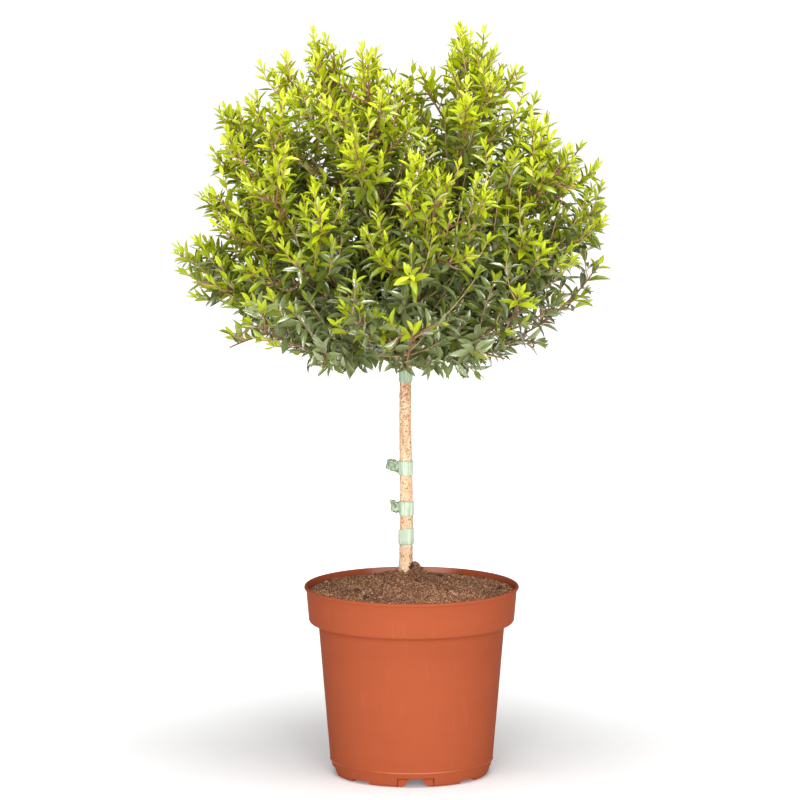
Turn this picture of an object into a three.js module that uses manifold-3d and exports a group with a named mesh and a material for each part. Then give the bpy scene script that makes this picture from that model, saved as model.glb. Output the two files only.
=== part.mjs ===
// A small-leaved myrtle grown as a standard: an open, rounded head of upright shoots on a clear
// stem, planted in a moulded nursery pot filled with potting soil. Four bands of tying tape go
// round the stem. Millimetres, +Z up, front towards -Y. The origin lies on the pot's underside,
// on the pot's axis.

import * as THREE from "three";
import { mergeVertices } from "three/addons/utils/BufferGeometryUtils.js";
import Module from "manifold-3d";

const wasm = await Module();
wasm.setup();

// ---------------------------------------------------------------- driving dimensions

const CLEARANCE = 0.3; // gap kept between neighbouring pieces
const SLIVER = 0.05; // detail finer than this is smoothed away where solids are joined

const POT = {
  height: 169, // foot to the top of the rim bead
  wall: 1.6,
  rimRadius: 95.3, // outside of the rim bead
  beadRadius: 1.5,
  collarTopRadius: 93.1,
  collarFootRadius: 90.8,
  collarDepth: 32.5, // top of the rim to the collar's underside
  collarRoll: 3,
  bodyTopRadius: 82.4,
  bodyFootRadius: 72,
  ringHeight: 13.3, // foot ring, a little narrower than the body
  ringRadius: 70.5,
  ringRoll: 4,
  ringInnerRadius: 62.5,
  floorHeight: 8, // underside of the floor above the ground
  hubRadius: 14, // moulding hub that stands on the ground in the middle
  sides: 36,
};

// Drains through the foot ring, each in a shallow recess, with a low notch between every two.
const DRAIN = {
  count: 4,
  turn: 3, // degrees between the front and the first drain
  recessWidth: 32,
  recessHeight: 8,
  recessDepth: 2.2,
  mouthWidth: 25, // at the ground
  mouthTop: 12, // at the recess's top
  notchWidth: 19,
  notchHeight: 3,
};

const SOIL = {
  edgeBelowRim: 4.5,
  height: 177.4, // at the stem's foot
  padRadius: 9.5, // level patch that the stem stands on
  lump: 1.1,
  rings: 6,
  sides: 28,
};

const STEM = {
  foot: new THREE.Vector3(-5, 6, SOIL.height + CLEARANCE),
  headHeight: 368.5, // centre of the knuckle that carries the boughs
  headRadius: 7.4,
  headSwell: 7, // how far below its centre the knuckle starts
  flareRadius: 7.6,
  flareHeight: 14,
  lowRadius: 6.05,
  highRadius: 4.85,
  sway: 0.5,
  sides: 12,
  rings: 12,
};

const TIE = {
  thickness: 1.2,
  sides: 16,
  bands: [
    { name: "tie_lower", height: 211.1, width: 13.4, knot: 0 },
    { name: "tie_middle", height: 236.3, width: 12.6, knot: 9 }, // knot: how far it stands out
    { name: "tie_upper", height: 272.7, width: 13.2, knot: 12 },
    { name: "tie_top", height: 355.2, width: 12, knot: 0 },
  ],
};

// The head's outline is a distance from the stem's knuckle that grows with the elevation. A
// shallow parting runs over the top from front to back.
const HEAD = {
  sideReach: 117,
  topReach: 310,
  rise: 0.88, // exponent of the growth from side to top
  lowLean: 0.19, // the low part and the high shoulder go further out towards -X than towards +X
  highLean: 0.09,
  topLean: 0.25, // the very top leans the other way
  floor: 355, // height of the lowest leaf tips at the stem
  floorCurve: 0.0022, // how fast the underside rises away from it, steeper towards +X
  floorLean: 0.2,
  partingDepth: 0.14,
  partingX: 1,
  partingWidth: 28,
  seed: 23,
};

// Foliage masses in tiers of directions out of the knuckle, in degrees.
const TIERS = [
  { name: "skirt", count: 7, elevation: 15, turn: 12 },
  { name: "shoulder", count: 6, elevation: 43, turn: 34 },
  { name: "top", count: 4, elevation: 71, turn: 58 },
];

const BOUGH = {
  baseRadius: 2.5,
  tipRadius: 1.6,
  entry: 0.36, // share of the reach at which a bough enters its mass
  sides: 6,
  rings: 5,
};

const MASS = {
  gap: 1.2, // between the spaces of two masses
  centre: 0.62, // share of the reach
  coreAcross: 0.9, // the core's share of the space, across the mass and along it
  coreAlong: 0.68,
  stemRadius: 1.5,
  twigRadius: 1.15,
  tipRadius: 0.6,
  angle: 42, // degrees at which twigs leave their stem
  lift: 0.4, // how strongly a twig turns upwards
  hold: 5, // how far above the head's underside the middle of a twig keeps
  pairSpacing: 22,
};

const SHOOTS = {
  shell: 126, // twigs that reach the outline
  under: 16, // twigs that hang below the skirt
  shyness: 0.07, // how far some of them stay short of the outline
};

const LEAF = {
  length: 40,
  width: 15,
  thickness: 1.6, // at the midrib
  widest: 0.42, // share of the length
  droop: 1.5,
  angle: 46, // degrees off the twig
};

const UP = new THREE.Vector3(0, 0, 1);
const GOLDEN_ANGLE = Math.PI * (3 - Math.sqrt(5));
const radians = THREE.MathUtils.degToRad;
const { lerp, smoothstep } = THREE.MathUtils;

// ---------------------------------------------------------------- solids and meshes

// A repeatable source of numbers from 0 to 1.
function seeded(seed) {
  let state = seed | 0;
  return () => {
    state = (state + 0x6d2b79f5) | 0;
    let t = Math.imul(state ^ (state >>> 15), 1 | state);
    t = (t + Math.imul(t ^ (t >>> 7), 61 | t)) ^ t;
    return ((t ^ (t >>> 14)) >>> 0) / 4294967296;
  };
}

// A closed geometry as a solid: only the positions count, and collapsed faces are dropped.
function toSolid(geometry) {
  const bare = new THREE.BufferGeometry();
  bare.setAttribute("position", geometry.getAttribute("position"));
  bare.setIndex(geometry.index);
  const merged = mergeVertices(bare, 1e-4);
  const index = merged.index.array;
  const faces = [];
  for (let i = 0; i < index.length; i += 3) {
    const [a, b, c] = [index[i], index[i + 1], index[i + 2]];
    if (a !== b && b !== c && c !== a) faces.push(a, b, c);
  }
  return new wasm.Manifold(
    new wasm.Mesh({
      numProp: 3,
      vertProperties: new Float32Array(merged.getAttribute("position").array),
      triVerts: new Uint32Array(faces),
    }),
  );
}

function toGeometry(solid) {
  const mesh = solid.getMesh();
  const positions = new Float32Array(mesh.numVert * 3);
  for (let i = 0; i < mesh.numVert; i++) {
    const start = i * mesh.numProp;
    positions.set(mesh.vertProperties.subarray(start, start + 3), i * 3);
  }
  const geometry = new THREE.BufferGeometry();
  geometry.setAttribute("position", new THREE.BufferAttribute(positions, 3));
  geometry.setIndex(new THREE.BufferAttribute(new Uint32Array(mesh.triVerts), 1));
  geometry.computeVertexNormals();
  return geometry;
}

// The largest body of a solid. Loose scraps and the skins of sealed hollows are left behind.
function largestBody(solid) {
  const bodies = solid.simplify(SLIVER).decompose();
  return bodies.reduce((best, body) => (body.volume() > best.volume() ? body : best));
}

function gridGeometry(positions, faces) {
  const geometry = new THREE.BufferGeometry();
  geometry.setAttribute("position", new THREE.Float32BufferAttribute(positions, 3));
  geometry.setIndex(faces);
  return geometry;
}

// A shape turned round the Z axis from (radius, height) pairs.
function turned(profile, sides) {
  const points = profile.map(([radius, height]) => new THREE.Vector2(radius, height));
  return new THREE.LatheGeometry(points, sides).rotateX(Math.PI / 2);
}

// Points on an arc, as (radius, height) pairs, from one angle to another in degrees.
function arc(radius, height, size, from, to, steps) {
  return Array.from({ length: steps + 1 }, (_, i) => {
    const angle = radians(lerp(from, to, i / steps));
    return [radius + size * Math.cos(angle), height + size * Math.sin(angle)];
  });
}

// A limb with flat ends: rings of equal sides round a path.
function limbGeometry(path, radiusAt, sides, rings) {
  const frames = path.computeFrenetFrames(rings, false);
  const positions = [];
  const faces = [];
  for (let i = 0; i <= rings; i++) {
    const centre = path.getPointAt(i / rings);
    const radius = radiusAt(i / rings);
    for (let j = 0; j < sides; j++) {
      const angle = (j / sides) * Math.PI * 2;
      const point = centre
        .clone()
        .addScaledVector(frames.normals[i], radius * Math.cos(angle))
        .addScaledVector(frames.binormals[i], radius * Math.sin(angle));
      positions.push(point.x, point.y, point.z);
    }
  }
  for (let i = 0; i < rings; i++) {
    for (let j = 0; j < sides; j++) {
      const next = (j + 1) % sides;
      const [low, high] = [i * sides, (i + 1) * sides];
      faces.push(low + j, low + next, high + next, low + j, high + next, high + j);
    }
  }
  const last = rings * sides;
  for (let j = 1; j < sides - 1; j++) {
    faces.push(0, j + 1, j, last, last + j, last + j + 1);
  }
  return gridGeometry(positions, faces);
}

// ---------------------------------------------------------------- pot

function bodyRadius(height) {
  const top = POT.height - POT.collarDepth;
  const share = (height - POT.ringHeight) / (top - POT.ringHeight);
  return lerp(POT.bodyFootRadius, POT.bodyTopRadius, share);
}

function potProfile() {
  const collarFoot = POT.height - POT.collarDepth;
  const rollCentre = POT.collarFootRadius - POT.collarRoll;
  const beadHeight = POT.height - POT.beadRadius;
  const beadCentre = POT.rimRadius - POT.beadRadius;
  const floorTop = POT.floorHeight + POT.wall;
  const ringCentre = POT.ringRadius - POT.ringRoll;
  return [
    [0, 0],
    [POT.hubRadius, 0],
    [POT.hubRadius + 1, POT.floorHeight],
    [POT.ringInnerRadius - 1, POT.floorHeight],
    [POT.ringInnerRadius, 0],
    ...arc(ringCentre, POT.ringRoll, POT.ringRoll, -90, 0, 3),
    [POT.ringRadius + 0.5, POT.ringHeight - 0.5],
    [POT.bodyFootRadius, POT.ringHeight],
    [POT.bodyTopRadius, collarFoot],
    ...arc(rollCentre, collarFoot + POT.collarRoll, POT.collarRoll, -90, 0, 3),
    [POT.collarTopRadius, beadHeight - POT.beadRadius],
    ...arc(beadCentre, beadHeight, POT.beadRadius, -45, 135, 2),
    [POT.collarTopRadius - POT.wall, beadHeight - POT.beadRadius],
    [POT.collarFootRadius - POT.wall, collarFoot + POT.wall],
    [POT.bodyTopRadius - POT.wall, collarFoot + POT.wall],
    [bodyRadius(floorTop) - POT.wall, floorTop],
    [0, floorTop],
  ];
}

// A box of a cutter, from a radius out past the pot's side and from below the ground up.
function cutBox(width, height, inner) {
  const far = POT.ringRadius + 10;
  const box = new THREE.BoxGeometry(width, far - inner, height + 1);
  return toSolid(box.translate(0, -(far + inner) / 2, (height - 1) / 2));
}

// One drain: a flared channel through the foot ring and a shallow recess round its mouth.
function drainCutter() {
  const channel = new THREE.Shape([
    new THREE.Vector2(-DRAIN.mouthWidth / 2, -1),
    new THREE.Vector2(DRAIN.mouthWidth / 2, -1),
    new THREE.Vector2(DRAIN.mouthTop / 2, DRAIN.recessHeight),
    new THREE.Vector2(-DRAIN.mouthTop / 2, DRAIN.recessHeight),
  ]);
  const inner = POT.ringInnerRadius - 2;
  const depth = POT.ringRadius + 10 - inner;
  const through = new THREE.ExtrudeGeometry(channel, { depth, bevelEnabled: false });
  through.rotateX(Math.PI / 2).translate(0, -inner, 0);
  const recessed = POT.ringRadius - DRAIN.recessDepth;
  const recess = cutBox(DRAIN.recessWidth, DRAIN.recessHeight, recessed);
  return toSolid(through).add(recess);
}

function potGeometry() {
  let pot = toSolid(turned(potProfile(), POT.sides));
  const drain = drainCutter();
  const notch = cutBox(DRAIN.notchWidth, DRAIN.notchHeight, POT.ringInnerRadius - 2);
  for (let i = 0; i < DRAIN.count; i++) {
    const turn = DRAIN.turn + (i * 360) / DRAIN.count;
    pot = pot.subtract(drain.rotate([0, 0, turn]));
    pot = pot.subtract(notch.rotate([0, 0, turn + 180 / DRAIN.count]));
  }
  return toGeometry(largestBody(pot));
}

// ---------------------------------------------------------------- soil

// Soil height above the rim's level line, by the share of the way from the stem to the wall.
function soilHeight(share, angle) {
  const edge = POT.height - SOIL.edgeBelowRim;
  const slope = 0.5 + 0.5 * Math.cos(Math.PI * Math.min(1, share));
  const ripple =
    Math.sin(3 * angle + 7 * share) + Math.sin(5 * angle - 11 * share) * 0.7;
  return lerp(edge, SOIL.height, slope) + SOIL.lump * ripple * Math.sin(Math.PI * share);
}

function soilGeometry() {
  const gap = CLEARANCE + 0.2;
  const collarFloor = POT.height - POT.collarDepth + POT.wall;
  const floor = POT.floorHeight + POT.wall + CLEARANCE;
  const edge = POT.height - SOIL.edgeBelowRim;
  const collarShare =
    (edge - collarFloor) / (POT.collarDepth - POT.beadRadius * 2 - POT.wall);
  const wallRadius = lerp(POT.collarFootRadius, POT.collarTopRadius, collarShare);
  const topRadius = wallRadius - POT.wall - gap;
  const rings = [];
  for (let k = 0; k <= SOIL.rings; k++) {
    const share = k / SOIL.rings;
    rings.push({
      radius: lerp(SOIL.padRadius, topRadius, share),
      centre: STEM.foot.clone().multiplyScalar(1 - share),
      height: (angle) => soilHeight(share, angle),
    });
  }
  const level = (radius, height) =>
    rings.push({ radius, centre: new THREE.Vector3(), height: () => height });
  level(POT.collarFootRadius - POT.wall - gap, collarFloor + CLEARANCE);
  level(POT.bodyTopRadius - POT.wall - gap, collarFloor + CLEARANCE);
  level(bodyRadius(floor) - POT.wall - gap, floor);
  const positions = [STEM.foot.x, STEM.foot.y, SOIL.height];
  const faces = [];
  for (const ring of rings) {
    for (let j = 0; j < SOIL.sides; j++) {
      const angle = (j / SOIL.sides) * Math.PI * 2;
      positions.push(
        ring.centre.x + ring.radius * Math.cos(angle),
        ring.centre.y + ring.radius * Math.sin(angle),
        ring.height(angle),
      );
    }
  }
  const bottom = positions.length / 3;
  positions.push(0, 0, floor);
  const at = (ring, side) => 1 + ring * SOIL.sides + (side % SOIL.sides);
  for (let j = 0; j < SOIL.sides; j++) {
    faces.push(0, at(0, j), at(0, j + 1));
    for (let k = 0; k < rings.length - 1; k++) {
      faces.push(at(k, j), at(k + 1, j), at(k + 1, j + 1));
      faces.push(at(k, j), at(k + 1, j + 1), at(k, j + 1));
    }
    faces.push(bottom, at(rings.length - 1, j + 1), at(rings.length - 1, j));
  }
  return gridGeometry(positions, faces);
}

// ---------------------------------------------------------------- stem and ties

const knuckle = new THREE.Vector3(STEM.foot.x, STEM.foot.y, STEM.headHeight);

function stemCentre(height) {
  const share = (height - STEM.foot.z) / (STEM.headHeight - STEM.foot.z);
  const bend = STEM.sway * Math.sin(Math.PI * 2 * share) * Math.min(1, 4 * share);
  return new THREE.Vector3(STEM.foot.x + bend, STEM.foot.y - bend / 2, height);
}

function stemRadius(height) {
  const rise = height - STEM.foot.z;
  const length = STEM.headHeight - STEM.foot.z;
  const taper = lerp(STEM.lowRadius, STEM.highRadius, Math.min(1, rise / length));
  const flare = Math.max(0, 1 - rise / STEM.flareHeight) ** 2;
  const toHead = THREE.MathUtils.clamp(1 - (STEM.headHeight - height) / STEM.headSwell, 0, 1);
  return taper + flare * (STEM.flareRadius - STEM.lowRadius) +
    toHead ** 0.6 * (STEM.headRadius - STEM.highRadius);
}

function stemGeometry() {
  const low = STEM.foot.z;
  const neck = STEM.headHeight - STEM.headSwell;
  const flare = [0, 0.3, 0.65].map((share) => low + share * STEM.flareHeight);
  const shaft = Array.from({ length: STEM.rings + 1 }, (_, i) =>
    lerp(low + STEM.flareHeight, neck, i / STEM.rings),
  );
  const swell = [0.4, 1].map((share) => neck + share * STEM.headSwell);
  const sides = [...flare, ...shaft, ...swell].map((z) => [stemRadius(z), z]);
  const top = STEM.headHeight + STEM.headRadius;
  const dome = arc(0, STEM.headHeight, STEM.headRadius, 30, 60, 1);
  const outline = [[0, low], ...sides, ...dome, [0, top]];
  const geometry = turned(outline, STEM.sides);
  const positions = geometry.getAttribute("position");
  for (let i = 0; i < positions.count; i++) {
    const height = Math.min(positions.getZ(i), STEM.headHeight);
    const centre = stemCentre(height);
    positions.setX(i, positions.getX(i) + centre.x);
    positions.setY(i, positions.getY(i) + centre.y);
  }
  return toGeometry(toSolid(geometry));
}

// A band of tape round the stem, with a crumpled knot on its -X side where it has one.
function tieGeometry({ height, width, knot }) {
  const half = width / 2;
  const widest = Math.max(stemRadius(height - half), stemRadius(height + half));
  const hole = widest + CLEARANCE + 0.2;
  const outer = hole + TIE.thickness;
  const round = TIE.thickness / 3;
  const band = turned(
    [
      [hole, -half],
      [outer - round, -half],
      [outer, -half + round],
      [outer, half - round],
      [outer - round, half],
      [hole, half],
      [hole, -half],
    ],
    TIE.sides,
  );
  let solid = toSolid(band);
  if (knot > 0) {
    const lobe = new THREE.IcosahedronGeometry(1, 1);
    lobe.scale(knot * 0.62, 3.2, width * 0.55);
    lobe.rotateY(radians(-20)).translate(-outer - knot * 0.36, 0, 2.5);
    const keep = toSolid(turned([[0, -30], [hole, -30], [hole, 30], [0, 30]], TIE.sides));
    solid = solid.add(toSolid(lobe).subtract(keep));
  }
  const centre = stemCentre(height);
  return toGeometry(largestBody(solid.translate([centre.x, centre.y, height])));
}

// ---------------------------------------------------------------- plan of the head

function direction(azimuth, elevation) {
  return new THREE.Vector3(
    Math.cos(elevation) * Math.cos(azimuth),
    Math.cos(elevation) * Math.sin(azimuth),
    Math.sin(elevation),
  );
}

// How far the head goes from the knuckle in a direction.
function reach(way) {
  const lift = Math.max(0, way.z) ** HEAD.rise;
  const low = HEAD.lowLean * (1 - smoothstep(lift, 0.45, 0.6));
  const high = HEAD.highLean * smoothstep(lift, 0.72, 0.82);
  const summit = HEAD.topLean * smoothstep(lift, 0.92, 0.99);
  const lean = 1 + way.x * (summit - low - high);
  const round = lerp(HEAD.sideReach, HEAD.topReach, lift) * lean;
  const across = (round * way.x + knuckle.x - HEAD.partingX) / HEAD.partingWidth;
  return round * (1 - HEAD.partingDepth * lift ** 3 * Math.exp(-across * across));
}

// Height of the head's underside.
function underside(point) {
  const [x, y] = [point.x - knuckle.x, point.y - knuckle.y];
  const flat = Math.hypot(x, y);
  return HEAD.floor + HEAD.floorCurve * flat * (flat + HEAD.floorLean * x);
}

// Twig tips spread evenly over the outline, and a few more round the underside.
function planTips(masses) {
  const random = seeded(HEAD.seed + 1);
  const { sideReach: side, topReach: top } = HEAD;
  const addTip = (tip) => {
    const ray = tip.clone().sub(knuckle);
    const owner = masses.reduce((a, b) => (ray.dot(b.way) > ray.dot(a.way) ? b : a));
    owner.tips.push(tip);
  };
  for (let i = 0; i < SHOOTS.shell; i++) {
    const share = (i + 0.5) / SHOOTS.shell;
    const rise = (Math.cbrt(lerp(side ** 3, top ** 3, share)) - side) / (top - side);
    const way = direction(i * GOLDEN_ANGLE, Math.asin(rise));
    const far = reach(way) * (1 - SHOOTS.shyness * random() ** 2);
    addTip(knuckle.clone().addScaledVector(way, far));
  }
  for (let i = 0; i < SHOOTS.under; i++) {
    const way = direction(i * GOLDEN_ANGLE, 0);
    const tip = knuckle.clone().addScaledVector(way, reach(way) * lerp(0.5, 0.95, random()));
    tip.z = underside(tip) + 6 * random();
    addTip(tip);
  }
}

function planMasses() {
  const random = seeded(HEAD.seed);
  const spread = (size) => (random() * 2 - 1) * size;
  const masses = [];
  for (const tier of TIERS) {
    for (let i = 0; i < tier.count; i++) {
      const azimuth = radians(tier.turn + (360 * i) / tier.count + spread(7));
      const elevation = radians(tier.elevation + spread(4));
      const way = direction(azimuth, elevation);
      const size = reach(way);
      masses.push({
        name: `foliage_${tier.name}_${i + 1}`,
        boughName: `bough_${tier.name}_${i + 1}`,
        tier: tier.name,
        way,
        size,
        centre: knuckle.clone().addScaledVector(way, size * MASS.centre),
        tips: [],
        seed: 100 * masses.length + HEAD.seed,
      });
    }
  }
  planTips(masses);
  return masses;
}

// ---------------------------------------------------------------- boughs

function makeBough(mass, start, out, radius) {
  const tip = knuckle.clone().addScaledVector(mass.way, mass.size * BOUGH.entry);
  const middle = start.clone().addScaledVector(out, tip.distanceTo(start) * 0.5);
  const path = new THREE.QuadraticBezierCurve3(start, middle, tip);
  return { name: mass.boughName, mass, path, baseRadius: radius, tipRadius: BOUGH.tipRadius };
}

// Smallest distance from a side bough's foot ring to the faces of its parent.
function footGap(bough, parentGeometry) {
  const ring = boughGeometry(bough).getAttribute("position");
  const corners = Array.from({ length: BOUGH.sides }, (_, i) =>
    new THREE.Vector3().fromBufferAttribute(ring, i),
  );
  const middles = corners.map((corner, i) =>
    corner.clone().lerp(corners[(i + 1) % BOUGH.sides], 0.5),
  );
  const positions = parentGeometry.getAttribute("position");
  const index = parentGeometry.index;
  const face = new THREE.Triangle();
  const nearest = new THREE.Vector3();
  let gap = Infinity;
  for (let i = 0; i < index.count; i += 3) {
    face.setFromAttributeAndIndices(
      positions, index.getX(i), index.getX(i + 1), index.getX(i + 2),
    );
    for (const point of [...corners, ...middles]) {
      gap = Math.min(gap, face.closestPointToPoint(point, nearest).distanceTo(point));
    }
  }
  return gap;
}

// A bough that leaves its parent's side. Its foot is slid along until it just clears the bark.
function makeSideBough(mass, parent, share) {
  const origin = parent.path.getPointAt(share);
  const axis = parent.path.getTangentAt(share);
  const tip = knuckle.clone().addScaledVector(mass.way, mass.size * BOUGH.entry);
  const way = tip.sub(origin).normalize();
  const angle = Math.max(radians(28), way.angleTo(axis));
  const side = way.clone().addScaledVector(axis, -way.dot(axis)).normalize();
  const out = axis.clone().multiplyScalar(Math.cos(angle));
  out.addScaledVector(side, Math.sin(angle));
  const parentRadius = lerp(parent.baseRadius, parent.tipRadius, share);
  const radius = parentRadius * 0.9;
  let along = (parentRadius + 1 + radius * Math.cos(angle)) / Math.sin(angle);
  const parentGeometry = boughGeometry(parent);
  let bough;
  for (let i = 0; i < 5; i++) {
    bough = makeBough(mass, origin.clone().addScaledVector(out, along), out, radius);
    along -= (footGap(bough, parentGeometry) - CLEARANCE) / Math.sin(angle);
  }
  return bough;
}

// Shoulder boughs and one leader rise from the knuckle. They carry the skirt and top boughs.
function planBoughs(masses) {
  const fromKnuckle = (mass, way) => {
    const start = knuckle.clone();
    start.addScaledVector(way, STEM.headRadius + CLEARANCE);
    return makeBough(mass, start, way, BOUGH.baseRadius);
  };
  const ofTier = (tier) => masses.filter((mass) => mass.tier === tier);
  const shoulders = ofTier("shoulder").map((mass) => {
    const flat = new THREE.Vector3(mass.way.x, mass.way.y, 0).normalize();
    return fromKnuckle(mass, flat.addScaledVector(UP, 0.45).normalize());
  });
  const [leaderMass, ...topMasses] = ofTier("top");
  const leader = fromKnuckle(leaderMass, UP.clone());
  const byAngle = (mass) => (a, b) =>
    a.mass.way.angleTo(mass.way) - b.mass.way.angleTo(mass.way);
  const skirts = ofTier("skirt").map((mass) => {
    const parent = [...shoulders].sort(byAngle(mass))[0];
    return makeSideBough(mass, parent, 0.2);
  });
  const tops = topMasses.map((mass, i) => makeSideBough(mass, leader, 0.15 + 0.14 * i));
  return [...shoulders, leader, ...skirts, ...tops];
}

function boughGeometry(bough) {
  const radiusAt = (t) => lerp(bough.baseRadius, bough.tipRadius, t);
  return limbGeometry(bough.path, radiusAt, BOUGH.sides, BOUGH.rings);
}

// ---------------------------------------------------------------- foliage

// Shortest distance between two straight stretches, sampled finely enough for a leaf.
function stretchDistance(a, b, c, d) {
  const line = new THREE.Line3(c, d);
  const nearest = new THREE.Vector3();
  let best = Infinity;
  for (let i = 0; i <= 6; i++) {
    const point = a.clone().lerp(b, i / 6);
    line.closestPointToPoint(point, true, nearest);
    best = Math.min(best, nearest.distanceTo(point));
  }
  return best;
}

// Every rigid limb as short straight stretches with a radius.
function limbStretches(boughs) {
  const stretches = [];
  for (const bough of boughs) {
    const points = bough.path.getSpacedPoints(BOUGH.rings);
    for (let i = 0; i < BOUGH.rings; i++) {
      stretches.push({ from: points[i], to: points[i + 1], radius: bough.baseRadius });
    }
  }
  const tape = STEM.headRadius + TIE.thickness;
  stretches.push({ from: STEM.foot, to: knuckle, radius: tape });
  return stretches;
}

class FoliageMass {
  constructor(mass, bough, masses, stretches) {
    this.mass = mass;
    this.bough = bough;
    this.stretches = stretches;
    this.random = seeded(mass.seed);
    this.walls = masses
      .filter((other) => other !== mass)
      .map((other) => other.way.clone().sub(mass.way).normalize());
    this.solids = [];
  }

  // Inside the mass's own space: its side of every wall between two masses, which all run out
  // from the knuckle, and within the head's outline.
  holds(point) {
    const ray = point.clone().sub(knuckle);
    if (point.z < underside(point) || ray.length() > reach(ray.clone().normalize()) + 0.5) {
      return false;
    }
    return this.walls.every((wall) => ray.dot(wall) < -MASS.gap / 2);
  }

  clear(from, to, halfWidth) {
    return this.stretches.every(
      (limb) =>
        stretchDistance(from, to, limb.from, limb.to) > limb.radius + halfWidth + 0.6,
    );
  }

  // One leaf: a flat underside and a raised midrib, between its root and its tip. It is left
  // out if it doesn't fit its space.
  addLeaf(root, way, face, scale) {
    const length = LEAF.length * scale;
    const half = (LEAF.width * scale) / 2;
    const side = way.clone().cross(face).normalize();
    const top = side.clone().cross(way).normalize();
    const at = (along, across, up) =>
      root
        .clone()
        .addScaledVector(way, along * length)
        .addScaledVector(side, across)
        .addScaledVector(top, up);
    const corners = [
      root,
      at(LEAF.widest, half, 0),
      at(LEAF.widest * 0.7, 0, LEAF.thickness),
      at(LEAF.widest, -half, 0),
      at(1, 0, -LEAF.droop * scale),
    ];
    if (!corners.slice(1).every((corner) => this.holds(corner))) return;
    if (!this.clear(at(0.15, 0, 0), corners[4], half * 0.8)) return;
    const faces = [[0, 1, 2], [0, 2, 3], [0, 3, 1], [4, 2, 1], [4, 3, 2], [4, 1, 3]];
    const positions = corners.flatMap((corner) => corner.toArray());
    this.solids.push(toSolid(gridGeometry(positions, faces.flat())));
  }

  // A twig with opposite pairs of leaves, each pair a quarter turn on, and a leaf at its tip.
  addTwig(path, radius, firstPair) {
    const radiusAt = (t) => lerp(radius, MASS.tipRadius, t);
    this.solids.push(toSolid(limbGeometry(path, radiusAt, 3, 3)));
    const turn = this.random() * Math.PI;
    const leafy = path.getLength() * (1 - firstPair);
    const pairs = Math.max(1, Math.round(leafy / MASS.pairSpacing));
    for (let i = 0; i < pairs; i++) {
      const t = lerp(firstPair, 0.9, pairs > 1 ? i / (pairs - 1) : 0.5);
      const along = path.getTangentAt(t);
      const across = new THREE.Vector3().crossVectors(along, UP).normalize();
      for (const half of [0, Math.PI]) {
        const out = across.clone().applyAxisAngle(along, turn + half + (i * Math.PI) / 2);
        const angle = radians(LEAF.angle + (this.random() - 0.5) * 16);
        const way = along.clone().multiplyScalar(Math.cos(angle));
        way.addScaledVector(out, Math.sin(angle));
        const root = path.getPointAt(t).addScaledVector(out, 0.15);
        this.addLeaf(root, way, along, 0.88 + 0.24 * this.random());
      }
    }
    const end = path.getPoint(0.985);
    const way = path.getTangent(1);
    this.addLeaf(end, way, new THREE.Vector3(-way.y, way.x, 0.3).normalize(), 0.95);
  }

  // A twig from the stem that carries its last leaf to a tip on the outline. It is drawn in
  // until it fits the space and clears the limbs, or given up.
  fitTwig(stem, tip) {
    let root = stem.getPointAt(0.06);
    for (let t = 0.12; t < 0.9; t += 0.06) {
      const next = stem.getPointAt(t);
      const angle = tip.clone().sub(next).angleTo(stem.getTangentAt(t));
      if (angle > radians(MASS.angle)) break;
      root = next;
    }
    const span = tip.clone().sub(root);
    for (let share = 1; share > 0.45; share -= 0.06) {
      const out = span.clone().normalize().addScaledVector(UP, MASS.lift).normalize();
      const point = root.clone().addScaledVector(span, share);
      const end = point.clone().addScaledVector(out, -LEAF.length * 0.93);
      const middle = end.clone().addScaledVector(out, -0.45 * end.distanceTo(root));
      middle.z = Math.max(middle.z, underside(middle) + MASS.hold);
      const path = new THREE.QuadraticBezierCurve3(root, middle, end);
      const inside = [0.4, 0.7, 1].every((t) => this.holds(path.getPoint(t)));
      if (!inside || !this.holds(point)) continue;
      if (!this.clear(path.getPoint(0.15), path.getPoint(0.5), MASS.twigRadius)) continue;
      if (this.clear(path.getPoint(0.5), point, MASS.twigRadius)) return path;
    }
    return null;
  }

  // The leading stem goes on from the bough's tip and turns up to the head's outline.
  stemPath() {
    const along = this.bough.path.getTangentAt(1);
    const start = this.bough.path.getPoint(1).addScaledVector(along, CLEARANCE);
    const aim = this.mass.way.clone().addScaledVector(UP, 0.08).normalize();
    const far = reach(aim) - LEAF.length * 0.95;
    const end = knuckle.clone().addScaledVector(aim, far);
    const middle = start.clone().addScaledVector(along, start.distanceTo(end) * 0.5);
    return new THREE.QuadraticBezierCurve3(start, middle, end);
  }

  // The dense middle of the mass, a shrunken copy of its space that stays off the limbs.
  addCore() {
    const core = mergeVertices(new THREE.IcosahedronGeometry(1, 1).deleteAttribute("uv"));
    const positions = core.getAttribute("position");
    const tip = this.bough.path.getPoint(1);
    const along = this.bough.path.getTangent(1);
    const beyondTip = (point) => point.clone().sub(tip).dot(along) > 1;
    const ray = new THREE.Vector3();
    for (let i = 0; i < positions.count; i++) {
      ray.fromBufferAttribute(positions, i).normalize();
      let far = 4;
      const point = this.mass.centre.clone();
      while (this.holds(point) && beyondTip(point) && this.clear(point, point, 2)) {
        far += 2;
        point.copy(this.mass.centre).addScaledVector(ray, far);
      }
      const share = lerp(MASS.coreAcross, MASS.coreAlong, Math.abs(ray.dot(this.mass.way)));
      ray.multiplyScalar(far * share * (0.88 + 0.2 * this.random()));
      ray.add(this.mass.centre);
      positions.setXYZ(i, ray.x, ray.y, ray.z);
    }
    this.solids.push(toSolid(core));
  }

  geometry() {
    const stem = this.stemPath();
    this.addCore();
    this.addTwig(stem, MASS.stemRadius, 0.6);
    for (const tip of this.mass.tips) {
      const path = this.fitTwig(stem, tip);
      if (path) this.addTwig(path, MASS.twigRadius, 0.4);
    }
    return toGeometry(largestBody(wasm.Manifold.union(this.solids)));
  }
}

// ---------------------------------------------------------------- assembly

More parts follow.
